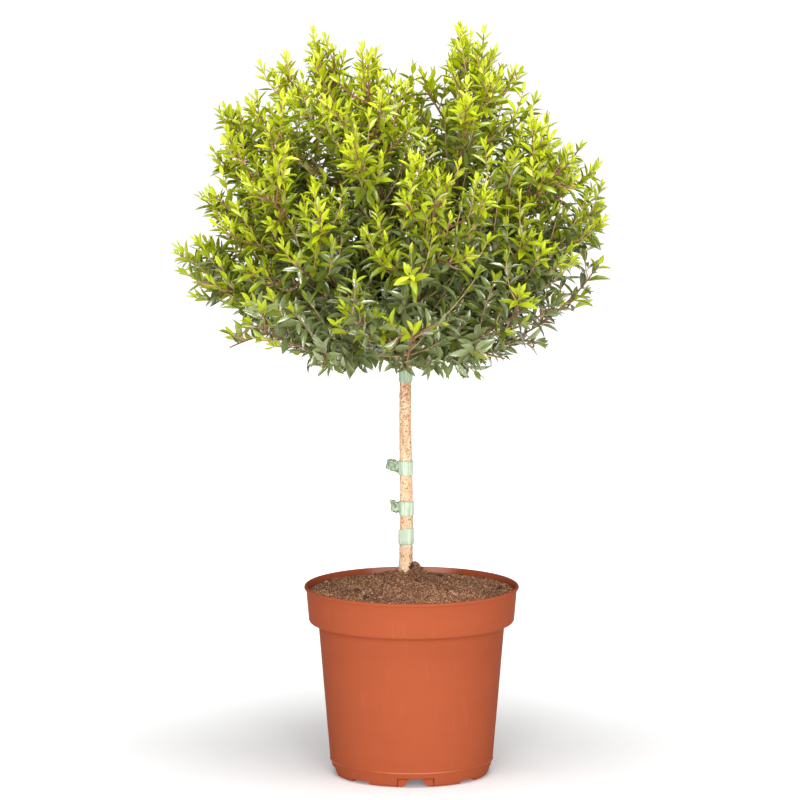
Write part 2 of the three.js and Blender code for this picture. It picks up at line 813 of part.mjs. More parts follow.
const FINISH = {
  pot: { color: 0xc8643f, roughness: 0.5, metalness: 0 },
  soil: { color: 0x6b4632, roughness: 0.95, metalness: 0 },
  bark: { color: 0xd9b184, roughness: 0.8, metalness: 0 },
  limb: { color: 0x8a5a42, roughness: 0.8, metalness: 0 },
  tape: { color: 0xa9c3a8, roughness: 0.45, metalness: 0 },
  foliage: { color: 0x86a81e, roughness: 0.5, metalness: 0 },
};

const topiary = new THREE.Group();

function addPiece(name, geometry, finish) {
  const mesh = new THREE.Mesh(geometry, new THREE.MeshStandardMaterial(FINISH[finish]));
  mesh.name = name;
  topiary.add(mesh);
}

addPiece("pot", potGeometry(), "pot");
addPiece("potting_soil", soilGeometry(), "soil");
addPiece("stem", stemGeometry(), "bark");
for (const band of TIE.bands) {
  addPiece(band.name, tieGeometry(band), "tape");
}

const masses = planMasses();
const boughs = planBoughs(masses);
const stretches = limbStretches(boughs);
for (const bough of boughs) {
  addPiece(bough.name, boughGeometry(bough), "limb");
}
for (const bough of boughs) {
  const foliage = new FoliageMass(bough.mass, bough, masses, stretches);
  addPiece(bough.mass.name, foliage.geometry(), "foliage");
}

export default topiary;
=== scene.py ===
"""Dresses the potted myrtle standard: a moulded nursery pot of potting soil, a flaky stem with
bands of tying tape, and a rounded head of upright shoots with small opposite leaves.

Sizes are in millimetres in the building and growing rules, and in metres in the finishes, the
Geometry Nodes rules and the finished meshes.
"""

import logging
from collections.abc import Callable, Iterable, Sequence
from dataclasses import dataclass, field
from enum import Enum
from math import asin, atan2, cos, exp, hypot, pi, radians, sin, sqrt
from typing import ClassVar

import bmesh
import bpy
from mathutils import Euler, Matrix, Vector, noise


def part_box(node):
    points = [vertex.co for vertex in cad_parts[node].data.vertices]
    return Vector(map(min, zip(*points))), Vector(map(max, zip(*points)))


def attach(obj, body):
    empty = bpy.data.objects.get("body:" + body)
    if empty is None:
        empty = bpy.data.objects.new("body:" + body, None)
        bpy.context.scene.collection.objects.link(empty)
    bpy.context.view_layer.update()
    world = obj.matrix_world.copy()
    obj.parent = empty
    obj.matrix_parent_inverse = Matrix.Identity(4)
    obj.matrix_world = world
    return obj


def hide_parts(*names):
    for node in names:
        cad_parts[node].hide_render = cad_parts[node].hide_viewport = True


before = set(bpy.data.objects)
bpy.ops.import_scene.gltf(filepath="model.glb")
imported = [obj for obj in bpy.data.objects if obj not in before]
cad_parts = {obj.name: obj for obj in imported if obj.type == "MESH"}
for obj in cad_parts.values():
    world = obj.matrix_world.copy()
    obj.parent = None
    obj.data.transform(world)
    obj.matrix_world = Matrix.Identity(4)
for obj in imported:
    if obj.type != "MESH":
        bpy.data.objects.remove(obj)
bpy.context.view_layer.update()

LOG = logging.getLogger("myrtle_standard")
MM = 0.001
UP = Vector((0.0, 0.0, 1.0))
WHITE = (1.0, 1.0, 1.0, 1.0)
GOLDEN_ANGLE = pi * (3.0 - sqrt(5.0))
MASK32 = 0xFFFFFFFF
RANGE32 = 2.0**32
SEED_STEP = 0x6D2B79F5

Pair = tuple[float, float]
Triple = tuple[float, float, float]
Colour = tuple[int, int, int]
Faces = list[tuple[int, ...]]
MeshParts = tuple[list[Vector], Faces]
Object = bpy.types.Object
Material = bpy.types.Material

# ---- numbers


def lerp(a: float, b: float, t: float) -> float:
    """Blends two numbers."""
    return a + (b - a) * t


def clamp(value: float, low: float = 0.0, high: float = 1.0) -> float:
    """Keeps a number between two others."""
    return max(low, min(high, value))


def smoothstep(value: float, low: float, high: float) -> float:
    """Rises smoothly from 0 at low to 1 at high."""
    t = clamp((value - low) / (high - low))
    return t * t * (3.0 - 2.0 * t)


def seeded(seed: int) -> Callable[[], float]:
    """A repeatable source of numbers from 0 to 1, the same one as the solids use.

    Args:
        seed: a whole number that fixes the sequence.

    Returns:
        A function that gives the next number each time it is called.
    """
    state = seed & MASK32

    def following() -> float:
        """The next number of the sequence.

        Returns:
            A number from 0 to 1.
        """
        nonlocal state
        state = (state + SEED_STEP) & MASK32
        t = ((state ^ (state >> 15)) * (1 | state)) & MASK32
        t = ((t + (((t ^ (t >> 7)) * (61 | t)) & MASK32)) & MASK32) ^ t
        return (t ^ (t >> 14)) / RANGE32

    return following


def linear(colour: Colour) -> tuple[float, float, float, float]:
    """A display colour as the shader's linear one.

    Args:
        colour: red, green and blue from 0 to 255.

    Returns:
        Linear red, green and blue, with full alpha.
    """

    def channel(value: float) -> float:
        """One channel through the standard display curve, which is straight near black."""
        value /= 255.0
        return value / 12.92 if value <= 0.04045 else ((value + 0.055) / 1.055) ** 2.4

    red, green, blue = (channel(v) for v in colour)
    return (red, green, blue, 1.0)


def step_angle(step: int, steps: int) -> float:
    """The angle of one of the equal steps round a full turn."""
    return 2.0 * pi * step / steps


def level_way(angle: float) -> Vector:
    """The level direction at an angle round the Z axis."""
    return Vector((cos(angle), sin(angle), 0.0))


# ---- node trees


class Sock:
    """A socket that takes part in Python expressions: each operator adds its Math node."""

    def __init__(self, tree: "NodeTree", socket: bpy.types.NodeSocket) -> None:
        """Wraps one output socket of a tree."""
        self.tree = tree
        self.socket = socket

    def _math(self, operation: str, *values: object) -> "Sock":
        """Adds one Math node and gives its result."""
        given = dict(enumerate(values))
        return self.tree.node("ShaderNodeMath", {"operation": operation}, given)

    def __add__(self, other: object) -> "Sock":
        """Sum."""
        return self._math("ADD", self, other)

    __radd__ = __add__

    def __sub__(self, other: object) -> "Sock":
        """Difference."""
        return self._math("SUBTRACT", self, other)

    def __rsub__(self, other: object) -> "Sock":
        """Difference, the other way round."""
        return self._math("SUBTRACT", other, self)

    def __mul__(self, other: object) -> "Sock":
        """Product."""
        return self._math("MULTIPLY", self, other)

    __rmul__ = __mul__

    def __abs__(self) -> "Sock":
        """The value without its sign."""
        return self._math("ABSOLUTE", self)

    def least(self, other: object) -> "Sock":
        """The lesser of two values."""
        return self._math("MINIMUM", self, other)

    def band(self, low: float, high: float) -> "Sock":
        """Rises from 0 at low to 1 at high, and stays between them."""
        values = {"Value": self, "From Min": low, "From Max": high}
        return self.tree.node("ShaderNodeMapRange", {"clamp": True}, values)


class NodeTree:
    """A node tree that is built by one method, for shaders and for geometry."""

    def __init__(self, tree: bpy.types.NodeTree) -> None:
        """Takes over a tree and empties it."""
        self.tree = tree
        tree.nodes.clear()

    def node(
        self,
        kind: str,
        settings: dict[str, object] | None = None,
        values: dict[int | str, object] | None = None,
        out: int | str = 0,
    ) -> Sock:
        """Adds a node, sets it up, and fills or links its inputs.

        Args:
            kind: the node's type.
            settings: properties to set first, such as a Math node's operation.
            values: what goes into each input, a constant or a Sock, by name or number.
            out: the output that is wanted, by name or number.

        Returns:
            That output.
        """
        made = self.tree.nodes.new(kind)
        for name, value in (settings or {}).items():
            setattr(made, name, value)
        for key, value in (values or {}).items():
            socket = made.inputs[key]
            if isinstance(value, Sock):
                self.tree.links.new(value.socket, socket)
            else:
                socket.default_value = value
        return Sock(self, made.outputs[out]) if len(made.outputs) else Sock(self, None)

    def part(self, vector: Sock, name: str) -> Sock:
        """One part of a vector, X, Y or Z."""
        return self.node("ShaderNodeSeparateXYZ", {}, {0: vector}, name)

    def length(self, vector: Sock) -> Sock:
        """The length of a vector."""
        return self.node("ShaderNodeVectorMath", {"operation": "LENGTH"}, {0: vector}, "Value")


class Shader(NodeTree):
    """The node tree of one material with a Principled shader."""

    def __init__(self, name: str) -> None:
        """Makes an empty material.

        Args:
            name: the material's name.
        """
        self.material = bpy.data.materials.new(name)
        self.material.use_nodes = True
        super().__init__(self.material.node_tree)
        self.place = self.node("ShaderNodeTexCoord", out="Object")

    def stretched(self, scale: Sequence[float]) -> Sock:
        """Object coordinates, multiplied along each axis."""
        return self.node("ShaderNodeMapping", {}, {"Vector": self.place, "Scale": scale})

    def axis(self, name: str) -> Sock:
        """One object coordinate, X, Y or Z."""
        return self.part(self.place, name)

    def noise(self, scale: float, detail: float, place: Sock | None = None) -> Sock:
        """Soft random values from 0 to 1.

        Args:
            scale: features to the metre.
            detail: how many finer layers are added.
            place: the coordinates, or None for the object's own.

        Returns:
            The noise's value.
        """
        values = {"Vector": place or self.place, "Scale": scale, "Detail": detail}
        return self.node("ShaderNodeTexNoise", {"normalize": True}, values)

    def cells(self, scale: float, place: Sock) -> Sock:
        """Distance to the nearest of scattered points, so many to the metre."""
        values = {"Vector": place, "Scale": scale}
        return self.node("ShaderNodeTexVoronoi", {}, values, "Distance")

    def mix(self, factor: object, first: object, second: object) -> Sock:
        """Blends two colours."""
        values = {0: factor, 6: first, 7: second}
        return self.node("ShaderNodeMix", {"data_type": "RGBA"}, values, 2)

    def bump(self, height: Sock, depth: float, strength: float) -> Sock:
        """A normal that follows a height of that depth in metres."""
        values = {"Height": height, "Distance": depth, "Strength": strength}
        return self.node("ShaderNodeBump", {}, values, "Normal")

    def surface(self, **inputs: object) -> Material:
        """Adds the Principled shader and ends the tree.

        Args:
            **inputs: its inputs, constants or Socks, with underscores for spaces.

        Returns:
            The material.
        """
        values = {name.replace("_", " "): value for name, value in inputs.items()}
        shader = self.node("ShaderNodeBsdfPrincipled", {}, values, "BSDF")
        self.node("ShaderNodeOutputMaterial", {}, {"Surface": shader})
        return self.material


class GeometryRule(NodeTree):
    """A Geometry Nodes tree with named inputs, run on one object."""

    def __init__(self, name: str, inputs: dict[str, str]) -> None:
        """Makes the tree with a geometry input and output.

        Args:
            name: the tree's name.
            inputs: the socket type of each further input, by its name.
        """
        group = bpy.data.node_groups.new(name, "GeometryNodeTree")
        super().__init__(group)
        face = group.interface
        face.new_socket("Geometry", in_out="INPUT", socket_type="NodeSocketGeometry")
        face.new_socket("Geometry", in_out="OUTPUT", socket_type="NodeSocketGeometry")
        self.identifiers: dict[str, str] = {}
        for label, kind in {**inputs, "Material": "NodeSocketMaterial"}.items():
            socket = face.new_socket(label, in_out="INPUT", socket_type=kind)
            self.identifiers[label] = socket.identifier
        self.entry = group.nodes.new("NodeGroupInput")

    def given(self, label: str) -> Sock:
        """What comes in by a named input."""
        return Sock(self, self.entry.outputs[label])

    def named(self, attribute: str, kind: str = "FLOAT") -> Sock:
        """A named attribute of the points."""
        settings = {"data_type": kind}
        return self.node("GeometryNodeInputNamedAttribute", settings, {"Name": attribute})

    def finish(self, geometry: Sock) -> None:
        """Realizes the instances, sets the material and ends the tree.

        Args:
            geometry: what the tree has made.
        """
        real = self.node("GeometryNodeRealizeInstances", {}, {"Geometry": geometry})
        values = {"Geometry": real, "Material": self.given("Material")}
        dressed = self.node("GeometryNodeSetMaterial", {}, values)
        self.node("NodeGroupOutput", {}, {0: dressed})

    def run(self, source: Object, name: str, material: Material, **inputs: object) -> Object:
        """Runs the tree on an object and keeps the result as a plain mesh.

        Args:
            source: the object that the tree works on. It is removed afterwards.
            name: the new piece's name.
            material: its finish.
            **inputs: values for the other named inputs.

        Returns:
            The new piece.
        """
        modifier = source.modifiers.new("rule", "NODES")
        modifier.node_group = self.tree
        for label, value in {**inputs, "Material": material}.items():
            modifier[self.identifiers[label]] = value
        piece = baked(source, name)
        piece.data.materials.clear()
        piece.data.materials.append(material)
        return piece


# ---- meshes


def add_object(name: str, mesh: bpy.types.Mesh) -> Object:
    """Puts a mesh in the scene as an object at the origin.

    Args:
        name: the object's name.
        mesh: its mesh.

    Returns:
        The object.
    """
    made = bpy.data.objects.new(name, mesh)
    bpy.context.scene.collection.objects.link(made)
    return made


def baked(source: Object, name: str) -> Object:
    """Works an object's modifiers into a plain mesh.

    Args:
        source: the object with its modifiers. It is removed.
        name: the new object's name.

    Returns:
        The new object.
    """
    graph = bpy.context.evaluated_depsgraph_get()
    graph.update()
    mesh = bpy.data.meshes.new_from_object(source.evaluated_get(graph))
    mesh.name = name
    bpy.data.objects.remove(source)
    return add_object(name, mesh)


def mesh_object(
    name: str,
    points: Iterable[Sequence[float]],
    faces: Iterable[Sequence[int]],
    material: Material | None = None,
) -> Object:
    """A smooth-shaded object from points in metres and faces.

    Args:
        name: the object's name.
        points: its corners.
        faces: corner numbers, anticlockwise from outside.
        material: its finish, or None for a piece that only shapes others.

    Returns:
        The object.
    """
    mesh = bpy.data.meshes.new(name)
    mesh.from_pydata([tuple(p) for p in points], [], [tuple(f) for f in faces])
    mesh.update()
    mesh.shade_smooth()
    if material is not None:
        mesh.materials.append(material)
    return add_object(name, mesh)


def ring_faces(rows: int, columns: int) -> Faces:
    """Quads between closed rings of corners, one ring after another.

    Args:
        rows: how many rings there are.
        columns: how many corners each ring has.

    Returns:
        The faces' corner numbers.
    """
    faces: Faces = []
    for i in range(rows - 1):
        low, high = i * columns, (i + 1) * columns
        for j in range(columns):
            k = (j + 1) % columns
            faces.append((low + j, low + k, high + k, high + j))
    return faces


def turned(profile: Sequence[Pair], columns: int) -> MeshParts:
    """A closed shape turned round the Z axis, in metres.

    Args:
        profile: (radius, height) pairs in millimetres, from the axis at the bottom, round the
            outside and back to the axis.
        columns: how many steps go round.

    Returns:
        The corners and the faces.
    """
    rows = profile[1:-1]
    points = []
    for radius, height in rows:
        for j in range(columns):
            angle = step_angle(j, columns)
            place = Vector((radius * cos(angle), radius * sin(angle), height))
            points.append(place * MM)
    faces = ring_faces(len(rows), columns)
    last = (len(rows) - 1) * columns
    low, high = len(points), len(points) + 1
    points += [Vector((0, 0, profile[0][1] * MM)), Vector((0, 0, profile[-1][1] * MM))]
    for j in range(columns):
        k = (j + 1) % columns
        faces += [(low, k, j), (high, last + j, last + k)]
    return points, faces


def arc(
    radius: float, height: float, size: float, start: float, end: float, steps: int
) -> list[Pair]:
    """Points on an arc as (radius, height) pairs, between two angles in degrees."""
    angles = (radians(lerp(start, end, i / steps)) for i in range(steps + 1))
    return [(radius + size * cos(a), height + size * sin(a)) for a in angles]


@dataclass
class Curve:
    """A quadratic curve with a radius at each end, in millimetres."""

    start: Vector
    middle: Vector
    end: Vector
    base_radius: float
    tip_radius: float
    length_steps: ClassVar[int] = 12

    def at(self, t: float) -> Vector:
        """The point at a share of the way."""
        s = 1.0 - t
        return self.start * (s * s) + self.middle * (2.0 * s * t) + self.end * (t * t)

    def along(self, t: float) -> Vector:
        """The direction at a share of the way."""
        way = (self.middle - self.start) * (1.0 - t) + (self.end - self.middle) * t
        return way.normalized()

    def radius(self, t: float) -> float:
        """The radius at a share of the way."""
        return lerp(self.base_radius, self.tip_radius, t)

    def length(self) -> float:
        """The length of the curve."""
        points = [self.at(i / self.length_steps) for i in range(self.length_steps + 1)]
        return sum((b - a).length for a, b in zip(points, points[1:]))


def dress(piece: Object, nodes: Sequence[str]) -> None:
    """Fastens a finished piece to the plant and reports it.

    Args:
        piece: the finished piece.
        nodes: the solids that it replaces.
    """
    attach(piece, "root")
    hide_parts(*nodes)
    LOG.info("%s: %d faces", piece.name, len(piece.data.polygons))


def nodes_named(*starts: str) -> list[str]:
    """The solids whose names begin with one of these words."""
    return [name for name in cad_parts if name.startswith(starts)]


# ---- finishes


@dataclass(frozen=True)
class PotPlastic:
    """Terracotta-coloured moulded plastic with a dull gloss, faint flow marks and dust. It also
    carries painted light inside the back of the rim, a painted highlight on the foot ring's edge
    over each drain, and painted shade round each drain's recess.

    Pairs of numbers are where a pattern starts and where it is full.
    """

    drain_turn: float
    recess_half: float
    recess_top: float
    ring_top: float
    colour: Colour = (163, 81, 52)
    shade: Colour = (156, 76, 46)
    dust: Colour = (184, 112, 84)
    # lit is a painted light colour: the patch inside the back of the rim and the highlight on the
    # foot ring's edge.
    lit: Colour = (226, 158, 134)
    # The painted shade colour round each drain's recess.
    recess_shade_colour: Colour = (96, 42, 26)
    cloud_scale: float = 14.0
    flow_scale: float = 9.0
    flow_stretch: Triple = (1.0, 1.0, 7.0)
    grain_scale: float = 900.0
    scuff_scale: float = 160.0
    scuff_stretch: Triple = (1.0, 1.0, 0.12)
    dust_share: float = 0.16
    # Where the painted light inside the back of the rim lies, and how strong it is.
    painted_glow_side: Pair = (0.0003, 0.0022)
    painted_glow_facing: Pair = (-0.5, -0.1)
    painted_glow_back: Pair = (0.08, 0.086)
    painted_glow_share: float = 0.85
    # The painted shade round each drain's recess: its width and its strength.
    recess_shade_width: float = 0.0005
    recess_shade_share: float = 0.7
    # The painted highlight on the foot ring's edge over each drain.
    ring_highlight_height: Pair = (0.0003, 0.0007)
    ring_highlight_side: Pair = (0.018, 0.042)
    ring_highlight_share: float = 0.34
    roughness: float = 0.48
    bump_depth: float = 0.00012
    bump_strength: float = 0.6
    specular: float = 0.05
    ior: float = 1.25

    def painted_glow(self, s: Shader) -> Sock:
        """Where painted light lies on the inner wall, at the back of the rim.

        Args:
            s: the material's tree.

        Returns:
            How strong the painted light is, from 0 to 1.
        """
        side, back = s.axis("X"), s.axis("Y")
        middle = 1.0 - (side * side).band(*self.painted_glow_side)
        facing = s.node("ShaderNodeNewGeometry", {}, {}, "Normal")
        inward = 1.0 - s.part(facing, "Y").band(*self.painted_glow_facing)
        return middle * inward * back.band(*self.painted_glow_back)

    def across(self, s: Shader) -> Sock:
        """How far a place is to the side of the nearest drain's middle.

        Args:
            s: the material's tree.

        Returns:
            The distance in metres.
        """
        turn = radians(self.drain_turn)
        x, y = s.axis("X"), s.axis("Y")
        along = x * cos(turn) + y * sin(turn)
        aside = y * cos(turn) - x * sin(turn)
        return abs(along).least(abs(aside))

    def painted_recess_shade(self, s: Shader) -> Sock:
        """Painted shade: a dark line round the edge of each drain's recess.

        Args:
            s: the material's tree.

        Returns:
            How dark the line is, from 0 to 1.
        """
        half, top, thin = self.recess_half, self.recess_top, self.recess_shade_width
        across, height = self.across(s), s.axis("Z")
        upright = 1.0 - abs(across - half).band(thin / 2, thin * 1.5)
        level = 1.0 - abs(height - top).band(thin / 2, thin * 1.5)
        below, within = 1.0 - height.band(top, top + thin), 1.0 - across.band(half, half + thin)
        return (upright * below + level * within) * self.recess_shade_share

    def painted_ring_highlight(self, s: Shader) -> Sock:
        """A painted highlight: a pale line on the foot ring's top edge, over each drain."""
        line = 1.0 - abs(s.axis("Z") - self.ring_top).band(*self.ring_highlight_height)
        return line * (1.0 - self.across(s).band(*self.ring_highlight_side)) * self.ring_highlight_share

    def material(self) -> Material:
        """Puts the plastic's pattern together.

        Returns:
            The material.
        """
        s = Shader("pot_plastic")
        cloud = s.noise(self.cloud_scale, 4.0)
        flow = s.noise(self.flow_scale, 3.0, s.stretched(self.flow_stretch))
        grain = s.noise(self.grain_scale, 2.0)
        scuff = s.noise(self.scuff_scale, 3.0, s.stretched(self.scuff_stretch))
        colour = s.mix(flow.band(0.3, 0.75), linear(self.shade), linear(self.colour))
        colour = s.mix(cloud.band(0.25, 0.8) * 0.75 + 0.25, colour, linear(self.colour))
        dust = scuff.band(0.62, 0.8) * self.dust_share
        colour = s.mix(dust, colour, linear(self.dust))
        # Painted light on the inner wall at the back of the rim.
        colour = s.mix(self.painted_glow(s) * self.painted_glow_share, colour, linear(self.lit))
        # A painted highlight on the foot ring's edge over each drain.
        colour = s.mix(self.painted_ring_highlight(s), colour, linear(self.lit))
        # Painted shade round each drain's recess.
        colour = s.mix(self.painted_recess_shade(s), colour, linear(self.recess_shade_colour))
        return s.surface(
            Base_Color=colour,
            Roughness=cloud * 0.14 + grain * 0.08 + self.roughness,
            Normal=s.bump(grain * 0.6 + flow * 1.2, self.bump_depth, self.bump_strength),
            Specular_IOR_Level=self.specular,
            IOR=self.ior,
        )


@dataclass(frozen=True)
class PottingSoil:
    """Moist peaty soil: brown crumbs, darker where it is damp."""

    name: str
    dark: Colour
    light: Colour
    scale: float = 240.0
    fineness: float = 7.0
    damp_scale: float = 38.0
    contrast: Pair = (0.42, 0.78)
    bump_depth: float = 0.0006
    bump_strength: float = 0.8
    roughness: float = 0.95
    specular: float = 0.2

    def material(self) -> Material:
        """Puts the soil's pattern together.

        Returns:
            The material.
        """
        s = Shader(self.name)
        clod = s.noise(self.scale, 4.0)
        fine = s.noise(self.scale * self.fineness, 3.0)
        damp = s.noise(self.damp_scale, 2.0)
        factor = clod * 0.5 + fine * 0.3 + damp * 0.4
        return s.surface(
            Base_Color=s.mix(factor.band(*self.contrast), linear(self.dark), linear(self.light)),
            Roughness=self.roughness,
            Normal=s.bump(fine + clod, self.bump_depth, self.bump_strength),
            Specular_IOR_Level=self.specular,
        )


@dataclass(frozen=True)
class FlakyBark:
    """Pale papery bark that flakes in upright strips, over a redder under-bark.

    It is specked more towards the head, from the first aged height to the second.
    """

    name: str
    pale: Colour
    warm: Colour
    speck: Colour
    strip_scale: float = 260.0
    strip_stretch: Triple = (1.0, 1.0, 0.3)
    stain_scale: float = 32.0
    stain_share: float = 0.3
    grain_share: float = 0.7
    speck_share: float = 0.8
    aged_height: Pair = (0.27, 0.36)
    aged_share: float = 0.6
    aged_specks: float = 0.09
    bump_depth: float = 0.0004
    bump_strength: float = 0.9
    roughness: float = 0.62

    def material(self) -> Material:
        """Puts the bark's pattern together.

        Returns:
            The material.
        """
        s = Shader(self.name)
        upright = s.stretched(self.strip_stretch)
        strips = s.noise(self.strip_scale, 5.0, upright)
        plates = s.cells(self.strip_scale * 1.4, upright)
        specks = s.noise(self.strip_scale * 2.3, 4.0)
        stain = s.noise(self.stain_scale, 3.0)
        grains = s.noise(self.strip_scale * 5.5, 2.0)
        aged = s.axis("Z").band(*self.aged_height)
        stained = stain.band(0.52, 0.72) * self.stain_share
        grained = grains.band(0.5, 0.6) * self.grain_share
        darkened = aged * grains.band(0.42, 0.56) * self.aged_share
        specked = (specks + aged * self.aged_specks).band(0.53, 0.64) * self.speck_share
        colour = s.mix(strips.band(0.36, 0.62), linear(self.warm), linear(self.pale))
        colour = s.mix(stained, colour, linear(self.warm))
        colour = s.mix(grained, colour, linear(self.warm))
        colour = s.mix(darkened, colour, linear(self.speck))
        colour = s.mix(specked, colour, linear(self.speck))
        relief = strips * 1.2 + plates * 0.8 + specks * 0.4
        return s.surface(
            Base_Color=colour,
            Roughness=strips * 0.2 + self.roughness,
            Normal=s.bump(relief, self.bump_depth, self.bump_strength),
        )


@dataclass(frozen=True)
class TyingTape:
    """Pale mint tying film, glossy, drawn into fine upright pleats, with painted shade in their
    creases.
    """

    name: str
    pale: Colour
    # fold is painted shade: the colour in the pleats' creases.
    fold: Colour
    upright: float = 0.07
    pleat_scale: float = 520.0
    crease_scale: float = 210.0
    bump_depth: float = 0.0003
    bump_strength: float = 0.8
    roughness: float = 0.24

    def material(self) -> Material:
        """Puts the film's pattern together.

        Returns:
            The material.
        """
        s = Shader(self.name)
        pleats = s.noise(self.pleat_scale, 3.0, s.stretched((1.0, 1.0, self.upright)))
        crease = s.noise(self.crease_scale, 2.0)
        # The fold colour in the pleats' creases is painted shade.
        factor = pleats.band(0.34, 0.62) * 0.75 + crease.band(0.35, 0.65) * 0.25
        return s.surface(
            Base_Color=s.mix(factor, linear(self.fold), linear(self.pale)),
            Roughness=crease * 0.2 + self.roughness,
            Normal=s.bump(pleats + crease * 0.6, self.bump_depth, self.bump_strength),
        )


@dataclass(frozen=True)
class PlainFinish:
    """One colour and gloss all over, for what is too small or too many for a pattern."""

    name: str
    colour: Colour
    roughness: float
    coat: float = 0.0
    specular: float = 0.3
    coat_roughness: float = 0.22

    def material(self) -> Material:
        """Sets the colour and gloss.

        Returns:
            The material.
        """
        return Shader(self.name).surface(
            Base_Color=linear(self.colour),
            Roughness=self.roughness,
            Coat_Weight=self.coat,
            Coat_Roughness=self.coat_roughness,
            Specular_IOR_Level=self.specular,
        )


@dataclass(frozen=True)
class LeafForm:
    """The outline and bend of one leaf, for a length and a width of 1.

    Each row is a share of the length and the width there.
    """

    name: str
    fold: float
    droop: float
    twist: float
    rows: tuple[Pair, ...] = ((0.0, 0.1), (0.2, 0.66), (0.45, 1.0), (0.74, 0.7))

    def build(self) -> Object:
        """Makes the leaf as a folded blade along +Y, with its upper side up.

        Returns:
            The leaf's object.
        """
        points, faces = [], []
        for along, half in self.rows:
            drop = -self.droop * along * along
            turn = self.twist * along
            for side in (-0.5, 0.0, 0.5):
                lift = self.fold * abs(side) * half * 2.0 + turn * side * half
                points.append((side * half, along, drop + lift))
        tip = len(points)
        points.append((0.0, 1.0, -self.droop))
        for i in range(len(self.rows) - 1):
            for j in (0, 1):
                corner = i * 3 + j
                faces.append((corner, corner + 1, corner + 4, corner + 3))
        faces += [(tip - 3, tip - 2, tip), (tip - 2, tip - 1, tip)]
        return mesh_object(self.name, points, faces)


class LeafShape(Enum):
    """Leaf forms by age."""

    YOUNG = LeafForm("leaf_form_young", fold=0.12, droop=-0.03, twist=0.05)
    GROWN = LeafForm("leaf_form_grown", fold=0.14, droop=0.04, twist=-0.06)
    OLD = LeafForm("leaf_form_old", fold=0.12, droop=0.16, twist=0.1)


class LeafTone(Enum):
    """Leaf finishes and forms, from the oldest, shaded leaves to the youngest tips.

    A finish's numbers are its roughness, coat and specular level.
    """

    SHADED = (PlainFinish("leaf_shaded", (84, 96, 30), 0.3, 0.7, 0.6), LeafShape.OLD)
    # DULL's paler grey-green is partly the low leaves' own duller colour and partly painted sheen.
    DULL = (PlainFinish("leaf_dull", (124, 136, 80), 0.24, 1.0, 0.9), LeafShape.OLD)
    DEEP = (PlainFinish("leaf_deep", (104, 118, 30), 0.28, 0.8, 0.7), LeafShape.GROWN)
    OLIVE = (PlainFinish("leaf_olive", (130, 145, 24), 0.36, 0.45, 0.5), LeafShape.GROWN)
    MID = (PlainFinish("leaf_mid", (155, 168, 14), 0.4, 0.3, 0.5), LeafShape.GROWN)
    FRESH = (PlainFinish("leaf_fresh", (176, 189, 14), 0.42, 0.25, 0.45), LeafShape.YOUNG)
    LIME = (PlainFinish("leaf_lime", (194, 204, 30), 0.44, 0.25, 0.45), LeafShape.YOUNG)
    TIP = (PlainFinish("leaf_tip", (208, 216, 66), 0.46, 0.25, 0.45), LeafShape.YOUNG)


# ---- pot and soil


